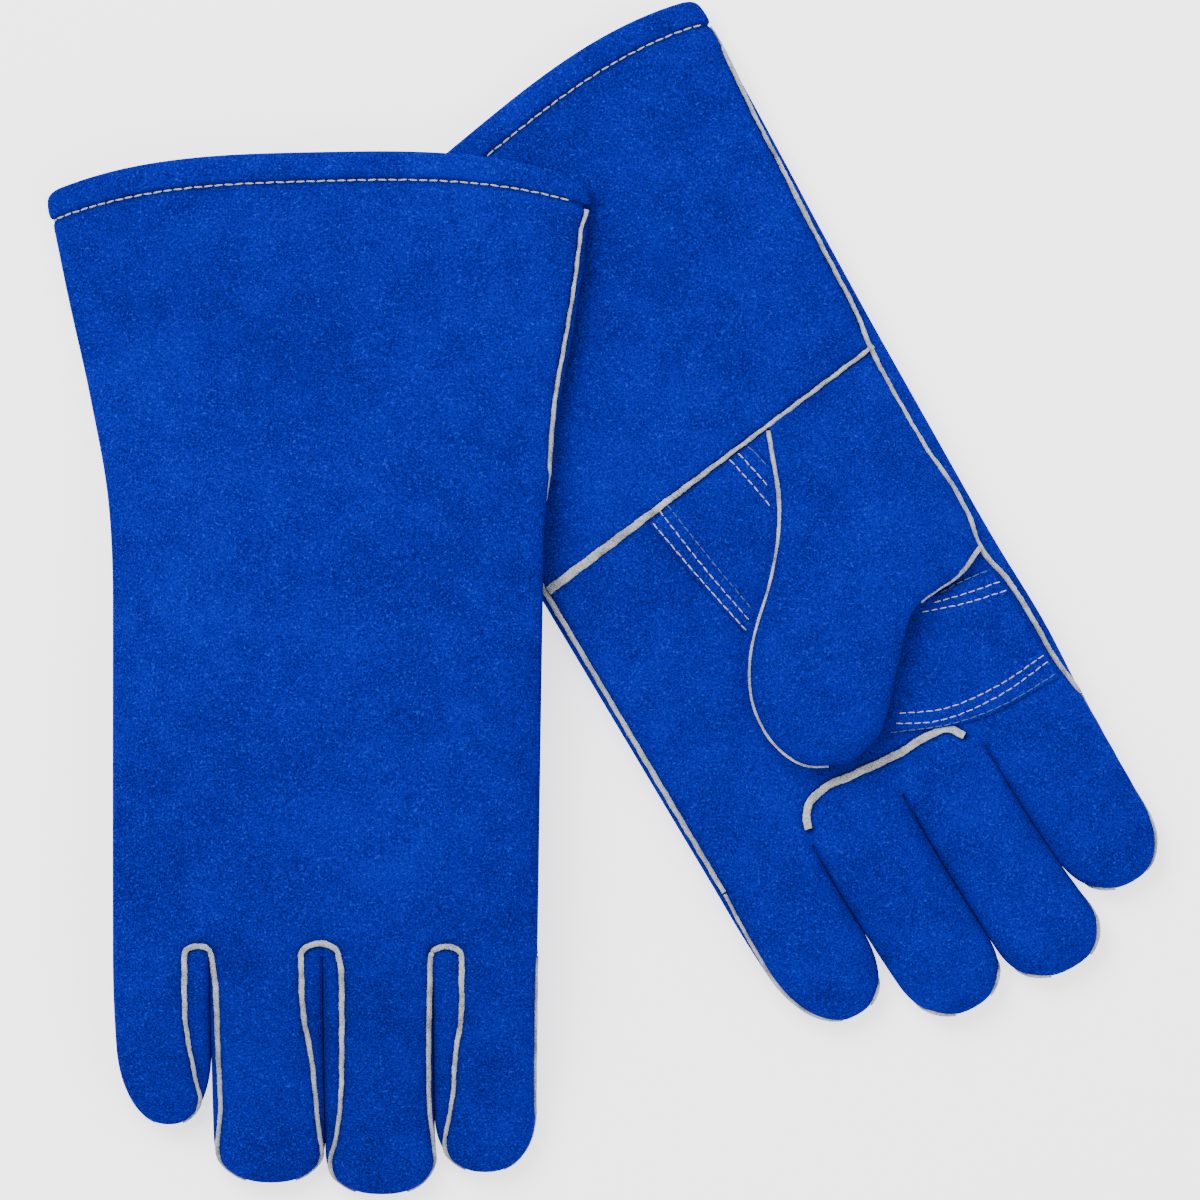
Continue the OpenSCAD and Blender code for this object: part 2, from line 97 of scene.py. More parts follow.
SIDE_SEAMS = (
    (((-1, 1.005), (-0.95, 1.02), (-0.88, 1.038), (0, 1.03), (0.15, 1.007), (0.3, 0.989),
      (0.5, 0.975), (0.86, 0.98), (0.93, 0.996), (1, 1.01)),
     ((-1, -1.03), (1, -1.03))),
    (((-1, 1.0), (-0.97, 1.01), (-0.87, 1.04), (-0.68, 1.044), (-0.565, 1.078),
      (-0.47, 1.048), (-0.4, 1.046), (-0.285, 1.068), (-0.12, 1.072), (0, 1.063), (0.1, 1.04),
      (0.23, 1.034), (0.41, 1.027), (0.52, 1.021), (0.64, 1.019), (0.81, 1.005), (1, 0.99)),
     ((-1, -1.03), (1, -1.035))),
)
# Width of each side's welt along the rows, as a share of the full width.
SIDE_WIDTHS = (
    (((-1, 0.78), (0, 0.78), (0.2, 0.64), (0.5, 0.6), (0.8, 0.48), (1, 0.42)),
     ((-1, 0.78), (1, 0.78))),
    (((-1, 0.78), (0, 0.78), (0.08, 0.55), (0.33, 0.52), (0.41, 0.85), (0.5, 0.55), (1, 0.45)),
     ((-1, 0.78), (1, 0.78))),
)
LIFT_PLACE = (-94.31, -0.81)
LEFT_PLACE = (41.59, 37.46)
LEFT_TURN = math.radians(29.4)

# How far the finger boundaries swing to the thumb side, 80 mm below the knuckles: the little
# side, the three gaps and the index side. Then where each tip starts to round off.
SWING = ((7.0, 1.5, 1.0, 1.2, -1.3), (8.0, 4.5, 3.3, 7.0, 0.5))
TIP_START = ((0.52, 0.8, 0.82, 0.72), (0.54, 0.73, 0.77, 0.7))
# Seams of each finger on its back, as places at shares of the finger's length.
FINGER_SEAMS = (
    (((0, -1.11), (0.26, -1.07), (0.6, -1.03), (1, -1.03)),
     ((0, 0.48), (0.3, 0.47), (0.6, 0.58), (0.76, 0.74), (0.88, 0.97), (1, 1.03))),
    (((0, -0.97), (0.14, -0.9), (0.4, -0.88), (0.65, -0.86), (0.82, -0.94), (0.9, -1.0),
      (1, -1.03)),
     ((0, 0.62), (0.22, 0.64), (0.46, 0.79), (0.63, 0.85), (0.8, 0.91), (0.9, 1.0), (1, 1.03))),
    (((0, -0.71), (0.05, -0.66), (0.1, -0.65), (0.36, -0.66), (0.6, -0.7), (0.76, -0.8),
      (0.9, -0.98), (1, -1.03)),
     ((0, 0.97), (0.16, 0.95), (0.37, 0.92), (0.6, 0.91), (0.78, 0.97), (0.9, 1.01), (1, 1.03))),
    (((0, -0.44), (0.23, -0.44), (0.46, -0.57), (0.66, -0.64), (0.8, -0.78), (0.91, -0.98),
      (1, -1.03)),
     ((0, 1.0), (0.15, 0.99), (0.5, 0.985), (1, 1.03))),
)

THUMB_START = np.array([24.2, 10.9])
THUMB_CORNER = np.array([67.6, -60.7])
THUMB_RIBS = (
    ((24.2, 10.9), (67.6, -60.7)),
    ((16.5, -10), (57.3, -65)),
    ((8.8, -23.6), (47.4, -65.8)),
    ((-1.5, -36), (41.0, -66.5)),
    ((-13, -47), (36, -68.5)),
    ((-20.5, -56), (31.5, -72.5)),
    ((-26, -67), (25.5, -79)),
    ((-27.6, -78), (19, -86)),
    ((-26, -87.5), (12.5, -93.5)),
    ((-21, -96), (5.5, -99.3)),
    ((-9.5, -102.4), (-6, -102.7)),
)
THUMB_AXIS_L = 105.0


def ease(a, b, x):
    """0 before a, 1 after b, and smooth between them."""
    t = np.clip((np.asarray(x, float) - a) / (b - a), 0, 1)
    return t * t * (3 - 2 * t)


def mix(a, b, t):
    return a + (b - a) * t


def bulge(s, n):
    """Half of a rounded outline: 1 in the middle and 0 at -1 and 1."""
    return np.maximum(0, 1 - np.abs(s) ** n) ** (1 / n)


def hermite(p0, p1, m0, m1, h, t):
    """A smooth step of length h from p0 to p1, with slopes m0 and m1."""
    return ((2 * t ** 3 - 3 * t ** 2 + 1) * p0 + (t ** 3 - 2 * t ** 2 + t) * h * m0
            + (3 * t ** 2 - 2 * t ** 3) * p1 + (t ** 3 - t ** 2) * h * m1)


def smooth_table(table, x):
    """A smooth curve through a table's points, without overshoot."""
    xs, ys = (np.array(c, float) for c in zip(*table))
    if len(xs) < 3:
        return np.interp(x, xs, ys)
    d = np.diff(ys) / np.diff(xs)
    m = np.concatenate([[d[0]], np.where(d[:-1] * d[1:] > 0, (d[:-1] + d[1:]) / 2, 0), [d[-1]]])
    limit = 3 * np.minimum(np.abs(np.r_[d[0], d]), np.abs(np.r_[d, d[-1]]))
    m = np.clip(m, -limit, limit)
    x = np.clip(x, xs[0], xs[-1])
    i = np.clip(np.searchsorted(xs, x, side="right") - 1, 0, len(xs) - 2)
    h = xs[i + 1] - xs[i]
    return hermite(ys[i], ys[i + 1], m[i], m[i + 1], h, (x - xs[i]) / h)


def up(glove):
    return 1 if glove == RIGHT else -1


def fold(q):
    """A place round an outline as a position from -1 to 1 and the face that it lies on."""
    m = q - 4 * np.floor((q + 1) / 4)
    on_back = m <= 1
    return np.where(on_back, m, 2 - m), np.where(on_back, BACK, PALM)


def side_x(glove, row, side):
    ball = 0.018 * np.exp(-((row + 0.8) / 0.17) ** 2) if (glove, side) == (LEFT, 1) else 0.0
    at_wrist = (mix(KNUCKLE_SHARE[glove][side], WRIST_SHARE[glove][side], row + 1) + ball) * HALF_W
    wrist_end = WRIST_SHARE[glove][side] * HALF_W
    hem_end = CUFF_SHIFT[glove] + (-1 if side == 0 else 1) * CUFF_W / 2
    return np.where(row <= 0, at_wrist, mix(wrist_end, hem_end, smooth_table(FLARES[side], row)))


def mid_x(glove, row):
    return (side_x(glove, row, 0) + side_x(glove, row, 1)) / 2


def reach(glove, row):
    return (side_x(glove, row, 1) - side_x(glove, row, 0)) / 2


def wrist_line(x):
    return WRIST_Y + WRIST_LEAN * x


def hem_line(glove, x):
    s = (x - mid_x(glove, 1.0)) / reach(glove, 1.0)
    edge = np.minimum(1.05, np.abs(s))
    corner = 1.5 * np.maximum(0, (edge - 0.95) / 0.05) ** 2
    return (WRIST_Y + CUFF_L + HEM_TOP[glove] + HEM_SLOPE[glove] * s
            - HEM_DROP[glove] * edge ** 3 - corner)


def row_y(glove, row, x):
    return np.where(row <= 0, mix(KNUCKLE_Y, wrist_line(x), row + 1),
                    mix(wrist_line(x), hem_line(glove, x), row))


def row_at(glove, x, y):
    low = (y - KNUCKLE_Y) / (wrist_line(x) - KNUCKLE_Y) - 1
    high = (y - wrist_line(x)) / (hem_line(glove, x) - wrist_line(x))
    return np.where(y <= wrist_line(x), low, np.minimum(1, high))


def half_t(row):
    table = ((-1, HAND_T * 0.48), (-0.5, HAND_T / 2), (0, HAND_T * 0.43), (1, CUFF_T / 2))
    return smooth_table(table, row)


def lift(x, y):
    """How high the right glove lies over its own thumb and over the left cuff."""
    thumb_lift = THUMB_T + THUMB_FLOOR + THUMB_CLEARANCE
    cuff_lift = CUFF_T + CUFF_CLEARANCE
    over_thumb = (thumb_lift * ease(-195, -100, y) * (1 - ease(18, 85, y))
                  * mix(0.5, 1, ease(-78, -28, x)))
    over_cuff = cuff_lift * ease(-35, 13, 0.68 * (x + 17) + 0.73 * (y - 90))
    return over_thumb + over_cuff - over_thumb * over_cuff / max(thumb_lift, cuff_lift)


def softness(x, y):
    """Slow hollows and swellings of padded leather, in millimetres."""
    return (0.45 * np.sin(x / 17 + 1.3 * np.sin(y / 41)) * np.cos(y / 26 + 0.7)
            + 0.3 * np.sin(y / 14 + x / 33) + 0.25 * np.sin(x / 9.5 - y / 21)) - 0.35


def place(glove, x, y, z, middle):
    """A point of the pattern in its place on the bench, in millimetres."""
    above = z * up(glove) > 0
    z = z + np.where(above, up(glove) * softness(x, y) * np.clip(np.abs(z) / 5, 0, 1), 0)
    if glove == RIGHT:
        return np.stack([x + LIFT_PLACE[0], y + LIFT_PLACE[1], middle + z + lift(x, y)], -1)
    c, s = math.cos(LEFT_TURN), math.sin(LEFT_TURN)
    return np.stack([LEFT_PLACE[0] + x * c - y * s, LEFT_PLACE[1] + x * s + y * c,
                     middle - z + 0 * x], -1)


def finger_side(glove, i, side):
    if side == 0:
        return side_x(glove, -1.0, 0) if i == 0 else BOUNDARY[glove][i - 1] + TOUCH
    return side_x(glove, -1.0, 1) if i == 3 else BOUNDARY[glove][i] - TOUCH


def knuckle_lobes(glove, x):
    """How the section across the knuckles dips between the fingers: 1 on a finger, 0 between."""
    lobes = np.zeros_like(x)
    for i in range(4):
        a, b = finger_side(glove, i, 0), finger_side(glove, i, 1)
        s = (x - (a + b) / 2) / ((b - a) / 2)
        outer = (i == 0) & (s < 0) | (i == 3) & (s > 0)
        lobes = np.maximum(lobes, np.where(outer & (np.abs(s) < 1.2), 1, bulge(s, 7)))
    return lobes


def hand_height(glove, row, x, s, depth):
    crease = ease(-1 + 4.5 / HAND_L, -1, row)
    lobes = mix(1, knuckle_lobes(glove, x), crease)
    return (half_t(row) - depth) * bulge(s, 3) * lobes


def skin(glove, row, q, depth=0.0):
    """A point on the hand or cuff, some depth inside the leather's outer face."""
    row, q, depth = np.broadcast_arrays(np.asarray(row, float), q, depth)
    s, side = fold(q)
    x = mid_x(glove, row) + (reach(glove, row) - depth) * s
    z = side * hand_height(glove, row, x, s, depth)
    return place(glove, x, row_y(glove, row, x), z, half_t(row))


def face_height(glove, x, y):
    row = row_at(glove, x, y)
    s = np.clip((x - mid_x(glove, row)) / reach(glove, row), -0.995, 0.995)
    return hand_height(glove, row, x, s, 0), half_t(row)


def on_face(glove, side, x, y, depth):
    """A point over a place in the flat pattern, some depth below that face."""
    height, middle = face_height(glove, x, y)
    return place(glove, x, y, side * (height - depth), middle)


def rounding(t, start, n=2.3):
    return np.where(t < start, 1, bulge(np.clip((t - start) / (1 - start), 0, 1), n))


def finger_skin(glove, i, t, q, depth=0.0):
    """A point on a finger: t runs from 0 at the knuckles to 1 at the tip."""
    t, q, depth = np.broadcast_arrays(np.asarray(t, float), q, depth)
    s, side = fold(q)
    a, b = finger_side(glove, i, 0), finger_side(glove, i, 1)
    tip = np.maximum(rounding(t, TIP_START[glove][i]), 0.01)
    far = (FINGER_L[glove][i] * t / 80) ** 2
    low, high = a + SWING[glove][i] * far, b + SWING[glove][i + 1] * far
    x = (low + high) / 2 + ((high - low) / 2 - depth) * tip * s
    middle = mix(half_t(-1.0), TIP_T / 2, t)
    x0 = (a + b) / 2 + (b - a) / 2 * s
    s0 = (x0 - mid_x(glove, -1.0)) / reach(glove, -1.0)
    root = (half_t(-1.0) - depth) * bulge(s0, 3) * knuckle_lobes(glove, x0)
    free = (middle - depth) * tip * bulge(s, 2.5)
    z = side * mix(root, free, ease(-0.02, 0.5, t))
    y = KNUCKLE_Y - (FINGER_L[glove][i] - depth) * t
    return place(glove, x, y, z, middle)


def rib_point(t, side):
    steps = np.linspace(0, 1, len(THUMB_RIBS))
    return [smooth_table(list(zip(steps, [r[side][k] for r in THUMB_RIBS])), t) for k in (0, 1)]


def thumb_half(t, s):
    """Half thickness of the thumb. It swells out of the palm along its left seam."""
    full = THUMB_T / 2 * smooth_table(((0, 0.86), (0.3, 1), (0.7, 1), (1, 0.75)), t)
    flat = mix(0.55, 1, ease(0.0, 0.42, t))
    return full * mix(1, flat, ease(0.2, -0.9, s))


def thumb_round(t, s):
    """Shape of the thumb's section, which flattens out into the wing."""
    return mix(np.maximum(0, 1 - s * s), bulge(s, 2.4), ease(0, 0.4, t))


def thumb_middle(t, s):
    """Height of the thumb's middle over the palm. Near the wing its edges sink to the palm."""
    sunk = 0.76 * (1 - thumb_round(t, s)) * (1 - ease(0, 0.42, t))
    return (THUMB_FLOOR + thumb_half(t, s)) * (1 - sunk)


def thumb_skin(glove, t, q, depth=0.0):
    t, q, depth = np.broadcast_arrays(np.asarray(t, float), q, depth)
    s, side = fold(q)
    along = t * (1 - depth / THUMB_AXIS_L)
    ax, ay = rib_point(along, 0)
    bx, by = rib_point(along, 1)
    width = np.maximum(np.hypot(bx - ax, by - ay), 0.5)
    s_in = s * (1 - np.minimum(0.9, 2 * depth / width))
    x, y = mix(ax, bx, (s_in + 1) / 2), mix(ay, by, (s_in + 1) / 2)
    half = thumb_half(t, s)
    swell = side * (half - depth) * np.maximum(rounding(t, 0.72), 0.02) * thumb_round(t, s)
    return on_face(glove, PALM, x, y, -thumb_middle(t, s) - swell)


WING_EDGE = ((23.5, 11.2), (45.5, 14.0), (68.0, 17.0), (68.7, 0), (68.9, -22), (69.8, -41),
             (69.3, -49.5), (67.9, -57.5), (67.2, -60.2))
WING_SHARE = (-1, -0.5, 0, 0.2, 0.49, 0.75, 0.86, 0.96, 1)
WING_AIR = 0.1


def wing_skin(glove, s, across, depth=0.0):
    s, across, depth = np.broadcast_arrays(np.asarray(s, float), across, depth)
    near = [mix(THUMB_START[k], THUMB_CORNER[k], (s + 1) / 2) for k in (0, 1)]
    far = [np.interp(s, WING_SHARE, [p[k] for p in WING_EDGE]) for k in (0, 1)]
    x, y = mix(near[0], far[0], across), mix(near[1], far[1], across)
    rise = thumb_middle(0.0, s) + thumb_half(0.0, s) * thumb_round(0.0, s)
    return on_face(glove, PALM, x, y, depth - rise * (1 - ease(0, 1, across)) - WING_AIR)


def seam_place(glove, row, side):
    return smooth_table(SIDE_SEAMS[glove][side], row)


def opening_x(row):
    lean = (THUMB_CORNER[0] - THUMB_START[0]) / (THUMB_CORNER[1] - THUMB_START[1])
    return ((THUMB_CORNER[0] + lean * (KNUCKLE_Y - THUMB_CORNER[1] + HAND_L * (row + 1)))
            / (1 - lean * WRIST_LEAN * (row + 1)))


# ---------------------------------------------------------------- meshes
def make_mesh(name, parts):
    """One smooth object from (grid of points in millimetres, wraps round, seam shade) parts."""
    points, faces, tones = [], [], []
    for grid, wrap, *tone in parts:
        rows, cols = grid.shape[:2]
        base = sum(len(p) for p in points)
        points.append(grid.reshape(-1, 3) * MM)
        tones.append(np.broadcast_to(tone[0] if tone else 0.0, (rows, cols)).reshape(-1))
        steps = cols if wrap else cols - 1
        r, c = np.meshgrid(np.arange(rows - 1), np.arange(steps), indexing="ij")
        d = (c + 1) % cols
        quads = np.stack([r * cols + c, r * cols + d, (r + 1) * cols + d, (r + 1) * cols + c], -1)
        faces.append(quads.reshape(-1, 4) + base)
    points, faces, tones = np.concatenate(points), np.concatenate(faces), np.concatenate(tones)
    mesh = bpy.data.meshes.new(name)
    mesh.from_pydata(points.tolist(), [], faces.tolist())
    mesh.validate()
    attribute = mesh.attributes.new("seam_shade", "FLOAT", "POINT")
    attribute.data.foreach_set("value", tones.astype(np.float32))
    mesh.shade_smooth()
    obj = bpy.data.objects.new(name, mesh)
    bpy.context.scene.collection.objects.link(obj)
    return obj


# Depth of a turned-in edge at distances from it, in millimetres: (distance, depth).
EDGE = ((0.0, 1.9), (0.0, 1.0), (0.3, 0.66), (0.75, 0.4), (1.4, 0.2), (2.4, 0.07), (3.8, 0.0))


def panel(section_at, rows, ends, spacing, turned=(True, True)):
    """Places and depths over a whole panel, spaced along its surface, its edges turned in.

    ends(row) gives the places where a row starts and stops.
    """
    corner = np.concatenate([k + np.sign(v) * np.abs(v) ** 2.2 * 0.25
                             for k in (-1, 1, 3) for v in [np.linspace(-1, 1, 160)]])
    edge_at, edge_depth = (np.array(c) for c in zip(*EDGE[:-1]))
    flat = EDGE[-1][0]
    qs, ds, inner = [], [], None
    for row in rows:
        q0, q1 = ends(row)
        dense = np.unique(np.concatenate([np.linspace(q0, q1, 500), corner]))
        dense = dense[(dense >= q0) & (dense <= q1)]
        path = section_at(row, dense)
        length = np.r_[0, np.cumsum(np.linalg.norm(np.diff(path, axis=0), axis=-1))]
        total = length[-1]
        if inner is None:
            inner = max(4, int(total / spacing))
        shrink = min(1.0, total / (flat * 2.2))
        low = flat * shrink if turned[0] else 0
        high = total - (flat * shrink if turned[1] else 0)
        wanted, depth = [np.linspace(low, high, inner)], [np.zeros(inner)]
        if turned[0]:
            wanted.insert(0, edge_at * shrink)
            depth.insert(0, edge_depth * shrink)
        if turned[1]:
            wanted.append(total - edge_at[::-1] * shrink)
            depth.append(edge_depth[::-1] * shrink)
        qs.append(np.interp(np.concatenate(wanted), length, dense))
        ds.append(np.concatenate(depth))
    return np.array(qs), np.array(ds)


def seam_tone(depth):
    """How strongly a turned-in edge is shaded."""
    return np.clip(depth / 0.9, 0, 1)


def hand_section(glove):
    def at(row, q):
        s, side = fold(q)
        x = mid_x(glove, row) + reach(glove, row) * s
        return np.stack([x, side * half_t(row) * bulge(s, 3)], -1)
    return at


def hem_rows(pairs):
    """Rows that end in a turned hem: (row, depth) pairs, over the edge and back inside."""
    body = [(r, d) for r, d in pairs if r < HEM_START]
    band = np.linspace(HEM_ROW - 0.01, 1, 26)
    dip = 0.75 * np.exp(-((band - HEM_ROW) * CUFF_L / 1.1) ** 2)
    puff = -0.55 * np.sin(np.pi * np.clip((band - HEM_ROW) / (1 - HEM_ROW), 0, 1)) ** 0.8
    over = [(1 + 0.5 / CUFF_L, 0.35), (1 + 0.85 / CUFF_L, 0.9), (1 + 1.0 / CUFF_L, 1.5),
            (1 + 0.8 / CUFF_L, 2.1), (1 + 0.3 / CUFF_L, 2.6), (1 - 0.8 / CUFF_L, 2.8),
            (HEM_ROW + 0.02, 2.8), (HEM_ROW, 2.2), (HEM_START, 1.75)]
    return body + list(zip(band, dip + puff)) + over


def hem_skin(glove, rows, depths, qs, edge_depths):
    """Like skin(), but rows past the hem's edge go on outwards."""
    inside = np.minimum(rows, 1.0)
    points = skin(glove, inside[:, None], qs, depths[:, None] + edge_depths)
    past = (rows - inside)[:, None, None] * CUFF_L
    ahead = skin(glove, np.full((len(rows), 1), 1.0), qs, 1.0) - skin(
        glove, np.full((len(rows), 1), 0.97), qs, 1.0)
    ahead /= np.linalg.norm(ahead, axis=-1, keepdims=True)
    return points + ahead * past


def path_distance(x, y, path):
    """Distance from each point to a path in the flat pattern."""
    best = np.full(x.shape, 1e9)
    for (ax, ay), (bx, by) in zip(path[:-1], path[1:]):
        dx, dy = bx - ax, by - ay
        t = np.clip(((x - ax) * dx + (y - ay) * dy) / (dx * dx + dy * dy + 1e-9), 0, 1)
        best = np.minimum(best, np.hypot(x - ax - t * dx, y - ay - t * dy))
    return best


def curve(points, spacing=1.0):
    """A smooth path through a few points, resampled evenly."""
    p = np.array(points, float)
    t = np.r_[0, np.cumsum(np.linalg.norm(np.diff(p, axis=0), axis=1))]
    n = max(3, int(t[-1] / spacing) + 1)
    s = np.linspace(0, t[-1], n)
    if len(p) < 3:
        return np.stack([np.interp(s, t, p[:, k]) for k in (0, 1)], -1)
    m = np.gradient(p, t, axis=0)
    i = np.clip(np.searchsorted(t, s, side="right") - 1, 0, len(t) - 2)
    h = (t[i + 1] - t[i])[:, None]
    return hermite(p[i], p[i + 1], m[i], m[i + 1], h, (s - t[i])[:, None] / h)


# Seam at the base of the ring and middle fronts, on the palm.
BASE_SEAM = ((-30.8, -115.6), (-29.9, -112.2), (-26.8, -108.4), (-20.8, -106.2), (-8.3, -106.9),
             (8.4, -108.2), (22.7, -108), (27.6, -109), (31.2, -113.8))


WELT_ROOT = 1.1


def wobble(n, seed, size):
    """A seeded, smooth irregularity along a strip."""
    k = np.arange(n)
    return size * (np.sin(k * 0.61 + seed * 1.7) * 0.5 + np.sin(k * 1.47 + seed * 2.3) * 0.3
                   + np.sin(k * 2.9 + seed * 4.1) * 0.35)


def ribbon(points, across, outward, width, proud, seed):
    """A raw-edged strip: centre points, unit directions across and outward, in millimetres."""
    n = len(points)
    width = np.broadcast_to(width, n)
    left = width / 2 + wobble(n, seed, 0.2)
    right = width / 2 + wobble(n, seed + 5, 0.2)
    top = proud + wobble(n, seed + 9, 0.08)
    root = np.full(n, -WELT_ROOT)
    rows = [(-left, root), (-left, top * 0.55), (-left * 0.72, top * 0.93), (0 * left, top),
            (right * 0.72, top * 0.93), (right, top * 0.55), (right, root)]
    return np.stack([points + across * a[:, None] + outward * h[:, None] for a, h in rows], 1)


def strip_on(surface, us, vs, width, proud, seed, across=(0, 0.003)):
    """A ribbon along a track on surface(u, v, depth). across is a small step sideways."""
    centre = surface(us, vs, 0.0)
    along = np.gradient(centre, axis=0)
    along /= np.maximum(np.linalg.norm(along, axis=1, keepdims=True), 1e-9)
    du, dv = across
    side = surface(us + du, vs + dv, 0.0) - surface(us - du, vs - dv, 0.0)
    side -= along * np.sum(side * along, axis=1, keepdims=True)
    side /= np.maximum(np.linalg.norm(side, axis=1, keepdims=True), 1e-9)
    out = np.cross(along, side)
    inward = surface(us, vs, 2.0) - centre
    out *= np.where(np.sum(out * inward, axis=1, keepdims=True) > 0, -1, 1)
    return ribbon(centre, side, out, width, proud, seed)


def face_strip(glove, side, path, width, proud, seed):
    """A ribbon along a path in the flat pattern, over one face."""
    x, y = path[:, 0], path[:, 1]
    centre = on_face(glove, side, x, y, 0.0)
    d = np.gradient(path, axis=0)
    d /= np.linalg.norm(d, axis=1, keepdims=True)
    ahead = on_face(glove, side, x + d[:, 0], y + d[:, 1], 0.0) - centre
    beside = on_face(glove, side, x - d[:, 1], y + d[:, 0], 0.0) - centre
    ahead /= np.linalg.norm(ahead, axis=1, keepdims=True)
    beside -= ahead * np.sum(beside * ahead, axis=1, keepdims=True)
    beside /= np.linalg.norm(beside, axis=1, keepdims=True)
    out = np.cross(ahead, beside)
    inside = on_face(glove, side, x, y, 1.0) - centre
    out *= -np.sign(np.sum(out * inside, axis=1, keepdims=True))
    return ribbon(centre, beside, out, width, proud, seed)


# ---------------------------------------------------------------- leather of the hand
def pattern_xy(glove, row, q):
    s, _ = fold(q)
    x = mid_x(glove, row) + reach(glove, row) * s
    return x, row_y(glove, row, x)


def rows_with_seam(first, last, spacing, length, seam_first=False, seam_last=False):
    """Rows, each with the depth that its turned edge sinks it by."""
    low = [(first + d / length, v) for d, v in EDGE[:-1]] if seam_first else []
    high = [(last - d / length, v) for d, v in reversed(EDGE[:-1])] if seam_last else []
    start = first + (EDGE[-1][0] / length if seam_first else 0)
    stop = last - (EDGE[-1][0] / length if seam_last else 0)
    steps = np.linspace(start, stop, max(3, int((stop - start) * length / spacing) + 1))
    rows = low + [(r, 0.0) for r in steps] + high
    return np.array([r for r, _ in rows]), np.array([v for _, v in rows])


def knuckle_rows(spacing):
    """Rows of the hand, closer together where it dips between the fingers."""
    near = -1 + np.array([0, 0.5, 1.1, 1.8, 2.6, 3.5, 4.6]) / HAND_L
    far = np.arange(-1 + 6 / HAND_L, 0, spacing / HAND_L)
    return np.concatenate([near, far])


def palm_start(glove, row):
    corner_row = row_at(RIGHT, THUMB_CORNER[0], THUMB_CORNER[1])
    if row < corner_row + 0.005:
        return seam_place(glove, row, 0)
    return 2 - (opening_x(row) - mid_x(glove, row)) / reach(glove, row)


def build_back(glove, spacing):
    hand = [(r, 0.0) for r in knuckle_rows(spacing) if r < -0.004]
    cuff = [(r, 0.0) for r in np.arange(0, HEM_START, spacing / CUFF_L)]
    pairs = hem_rows(hand + cuff)
    rows, depths = (np.array(c) for c in zip(*pairs))
    flat_rows = np.minimum(rows, 1.0)
    qs, edge = panel(hand_section(glove), flat_rows, lambda row: (
        seam_place(glove, row, 1), seam_place(glove, row, 0)), spacing)
    tops = sum(np.exp(-(path_distance(*pattern_xy(glove, flat_rows[:, None], qs), path) / 1.4) ** 2)
               for path in crotch_paths(glove))
    near_hem = rows[:, None] < HEM_ROW
    _, side = fold(qs)
    edge = np.maximum(edge, np.where(near_hem & (side == BACK), 0.9 * tops, 0))
    grid = hem_skin(glove, rows, depths, qs, edge)
    return [(grid, False, seam_tone(np.maximum(edge, hem_tone(rows)[:, None])))]


def hem_tone(rows):
    """Shade along the hem's stitching."""
    return 0.6 * np.exp(-((rows - HEM_ROW) * CUFF_L / 1.3) ** 2)


def crotch_paths(glove):
    """Tops of the strips round each gap between fingers, on the back of the hand."""
    paths = []
    for i, rise in enumerate((3.6, 4.4, 3.4)):
        xs = []
        for finger, k in ((i, 1), (i + 1, 0)):
            low, high = finger_side(glove, finger, 0), finger_side(glove, finger, 1)
            xs.append((low + high) / 2 + (high - low) / 2 * FINGER_SEAMS[finger][k][0][1])
        a = np.radians(np.linspace(0, 180, 17))
        paths.append(np.stack([(xs[0] + xs[1]) / 2 + (xs[1] - xs[0]) / 2 * np.cos(a),
                               KNUCKLE_Y + rise * np.sin(a) ** 0.8], -1))
    return paths


# Rows between which the points follow the turned edges of the wrist seam.
PALM_SEAM, CUFF_SEAM = (-0.06, -0.4 / HAND_L), (0.5 / CUFF_L, 0.12)


def build_palm(glove, spacing):
    rows = knuckle_rows(spacing)
    seam_rows, seam_depths = rows_with_seam(*PALM_SEAM, spacing, HAND_L, seam_last=True)
    body = rows[rows < PALM_SEAM[0] - 0.5 * spacing / HAND_L]
    rows = np.r_[body, seam_rows]
    depths = np.r_[np.zeros(len(body)), seam_depths]
    qs, edge = panel(hand_section(glove), rows, lambda row: (
        palm_start(glove, row), 4 + seam_place(glove, row, 1)), spacing)
    x, y = pattern_xy(glove, rows[:, None], qs)
    base = np.exp(-(path_distance(x, y, curve(BASE_SEAM)) / 1.7) ** 2)
    _, side = fold(qs)
    edge = np.maximum(edge, np.where(side == PALM, 1.1 * base, 0))
    edge = np.maximum(edge, depths[:, None])
    return [(skin(glove, rows[:, None], qs, edge), False, seam_tone(edge))]


def build_cuff_front(glove, spacing):
    first, sunk = rows_with_seam(*CUFF_SEAM, spacing, CUFF_L, seam_first=True)
    rest = np.arange(CUFF_SEAM[1] + spacing / CUFF_L, HEM_START, spacing / CUFF_L)
    pairs = hem_rows(list(zip(first, sunk)) + [(r, 0.0) for r in rest])
    rows, depths = (np.array(c) for c in zip(*pairs))
    flat_rows = np.minimum(rows, 1.0)
    qs, edge = panel(hand_section(glove), flat_rows, lambda row: (
        seam_place(glove, row, 0), 4 + seam_place(glove, row, 1)), spacing)
    dip = np.where(rows < 0.1, depths, hem_tone(rows))
    tone = seam_tone(np.maximum(edge, dip[:, None]))
    edge = np.where(rows[:, None] < 0.1, np.maximum(edge, depths[:, None]) - depths[:, None], edge)
    return [(hem_skin(glove, rows, depths, qs, edge), False, tone)]


def build_wing(glove):
    s = np.r_[-0.999, -0.99, np.linspace(-0.97, 0.97, 64), 0.99, 0.999]
    across = np.r_[0, np.linspace(0.012, 0.93, 34), 0.95, 0.965, 0.98, 0.99, 1.0]
    far = np.interp(across, (0.93, 0.965, 0.99, 1.0), (0, 0.25, 0.9, 1.6))
    grid = wing_skin(glove, s[:, None], across[None, :], far[None, :])
    return [(grid, False, np.broadcast_to(seam_tone(far)[None, :], grid.shape[:2]))]


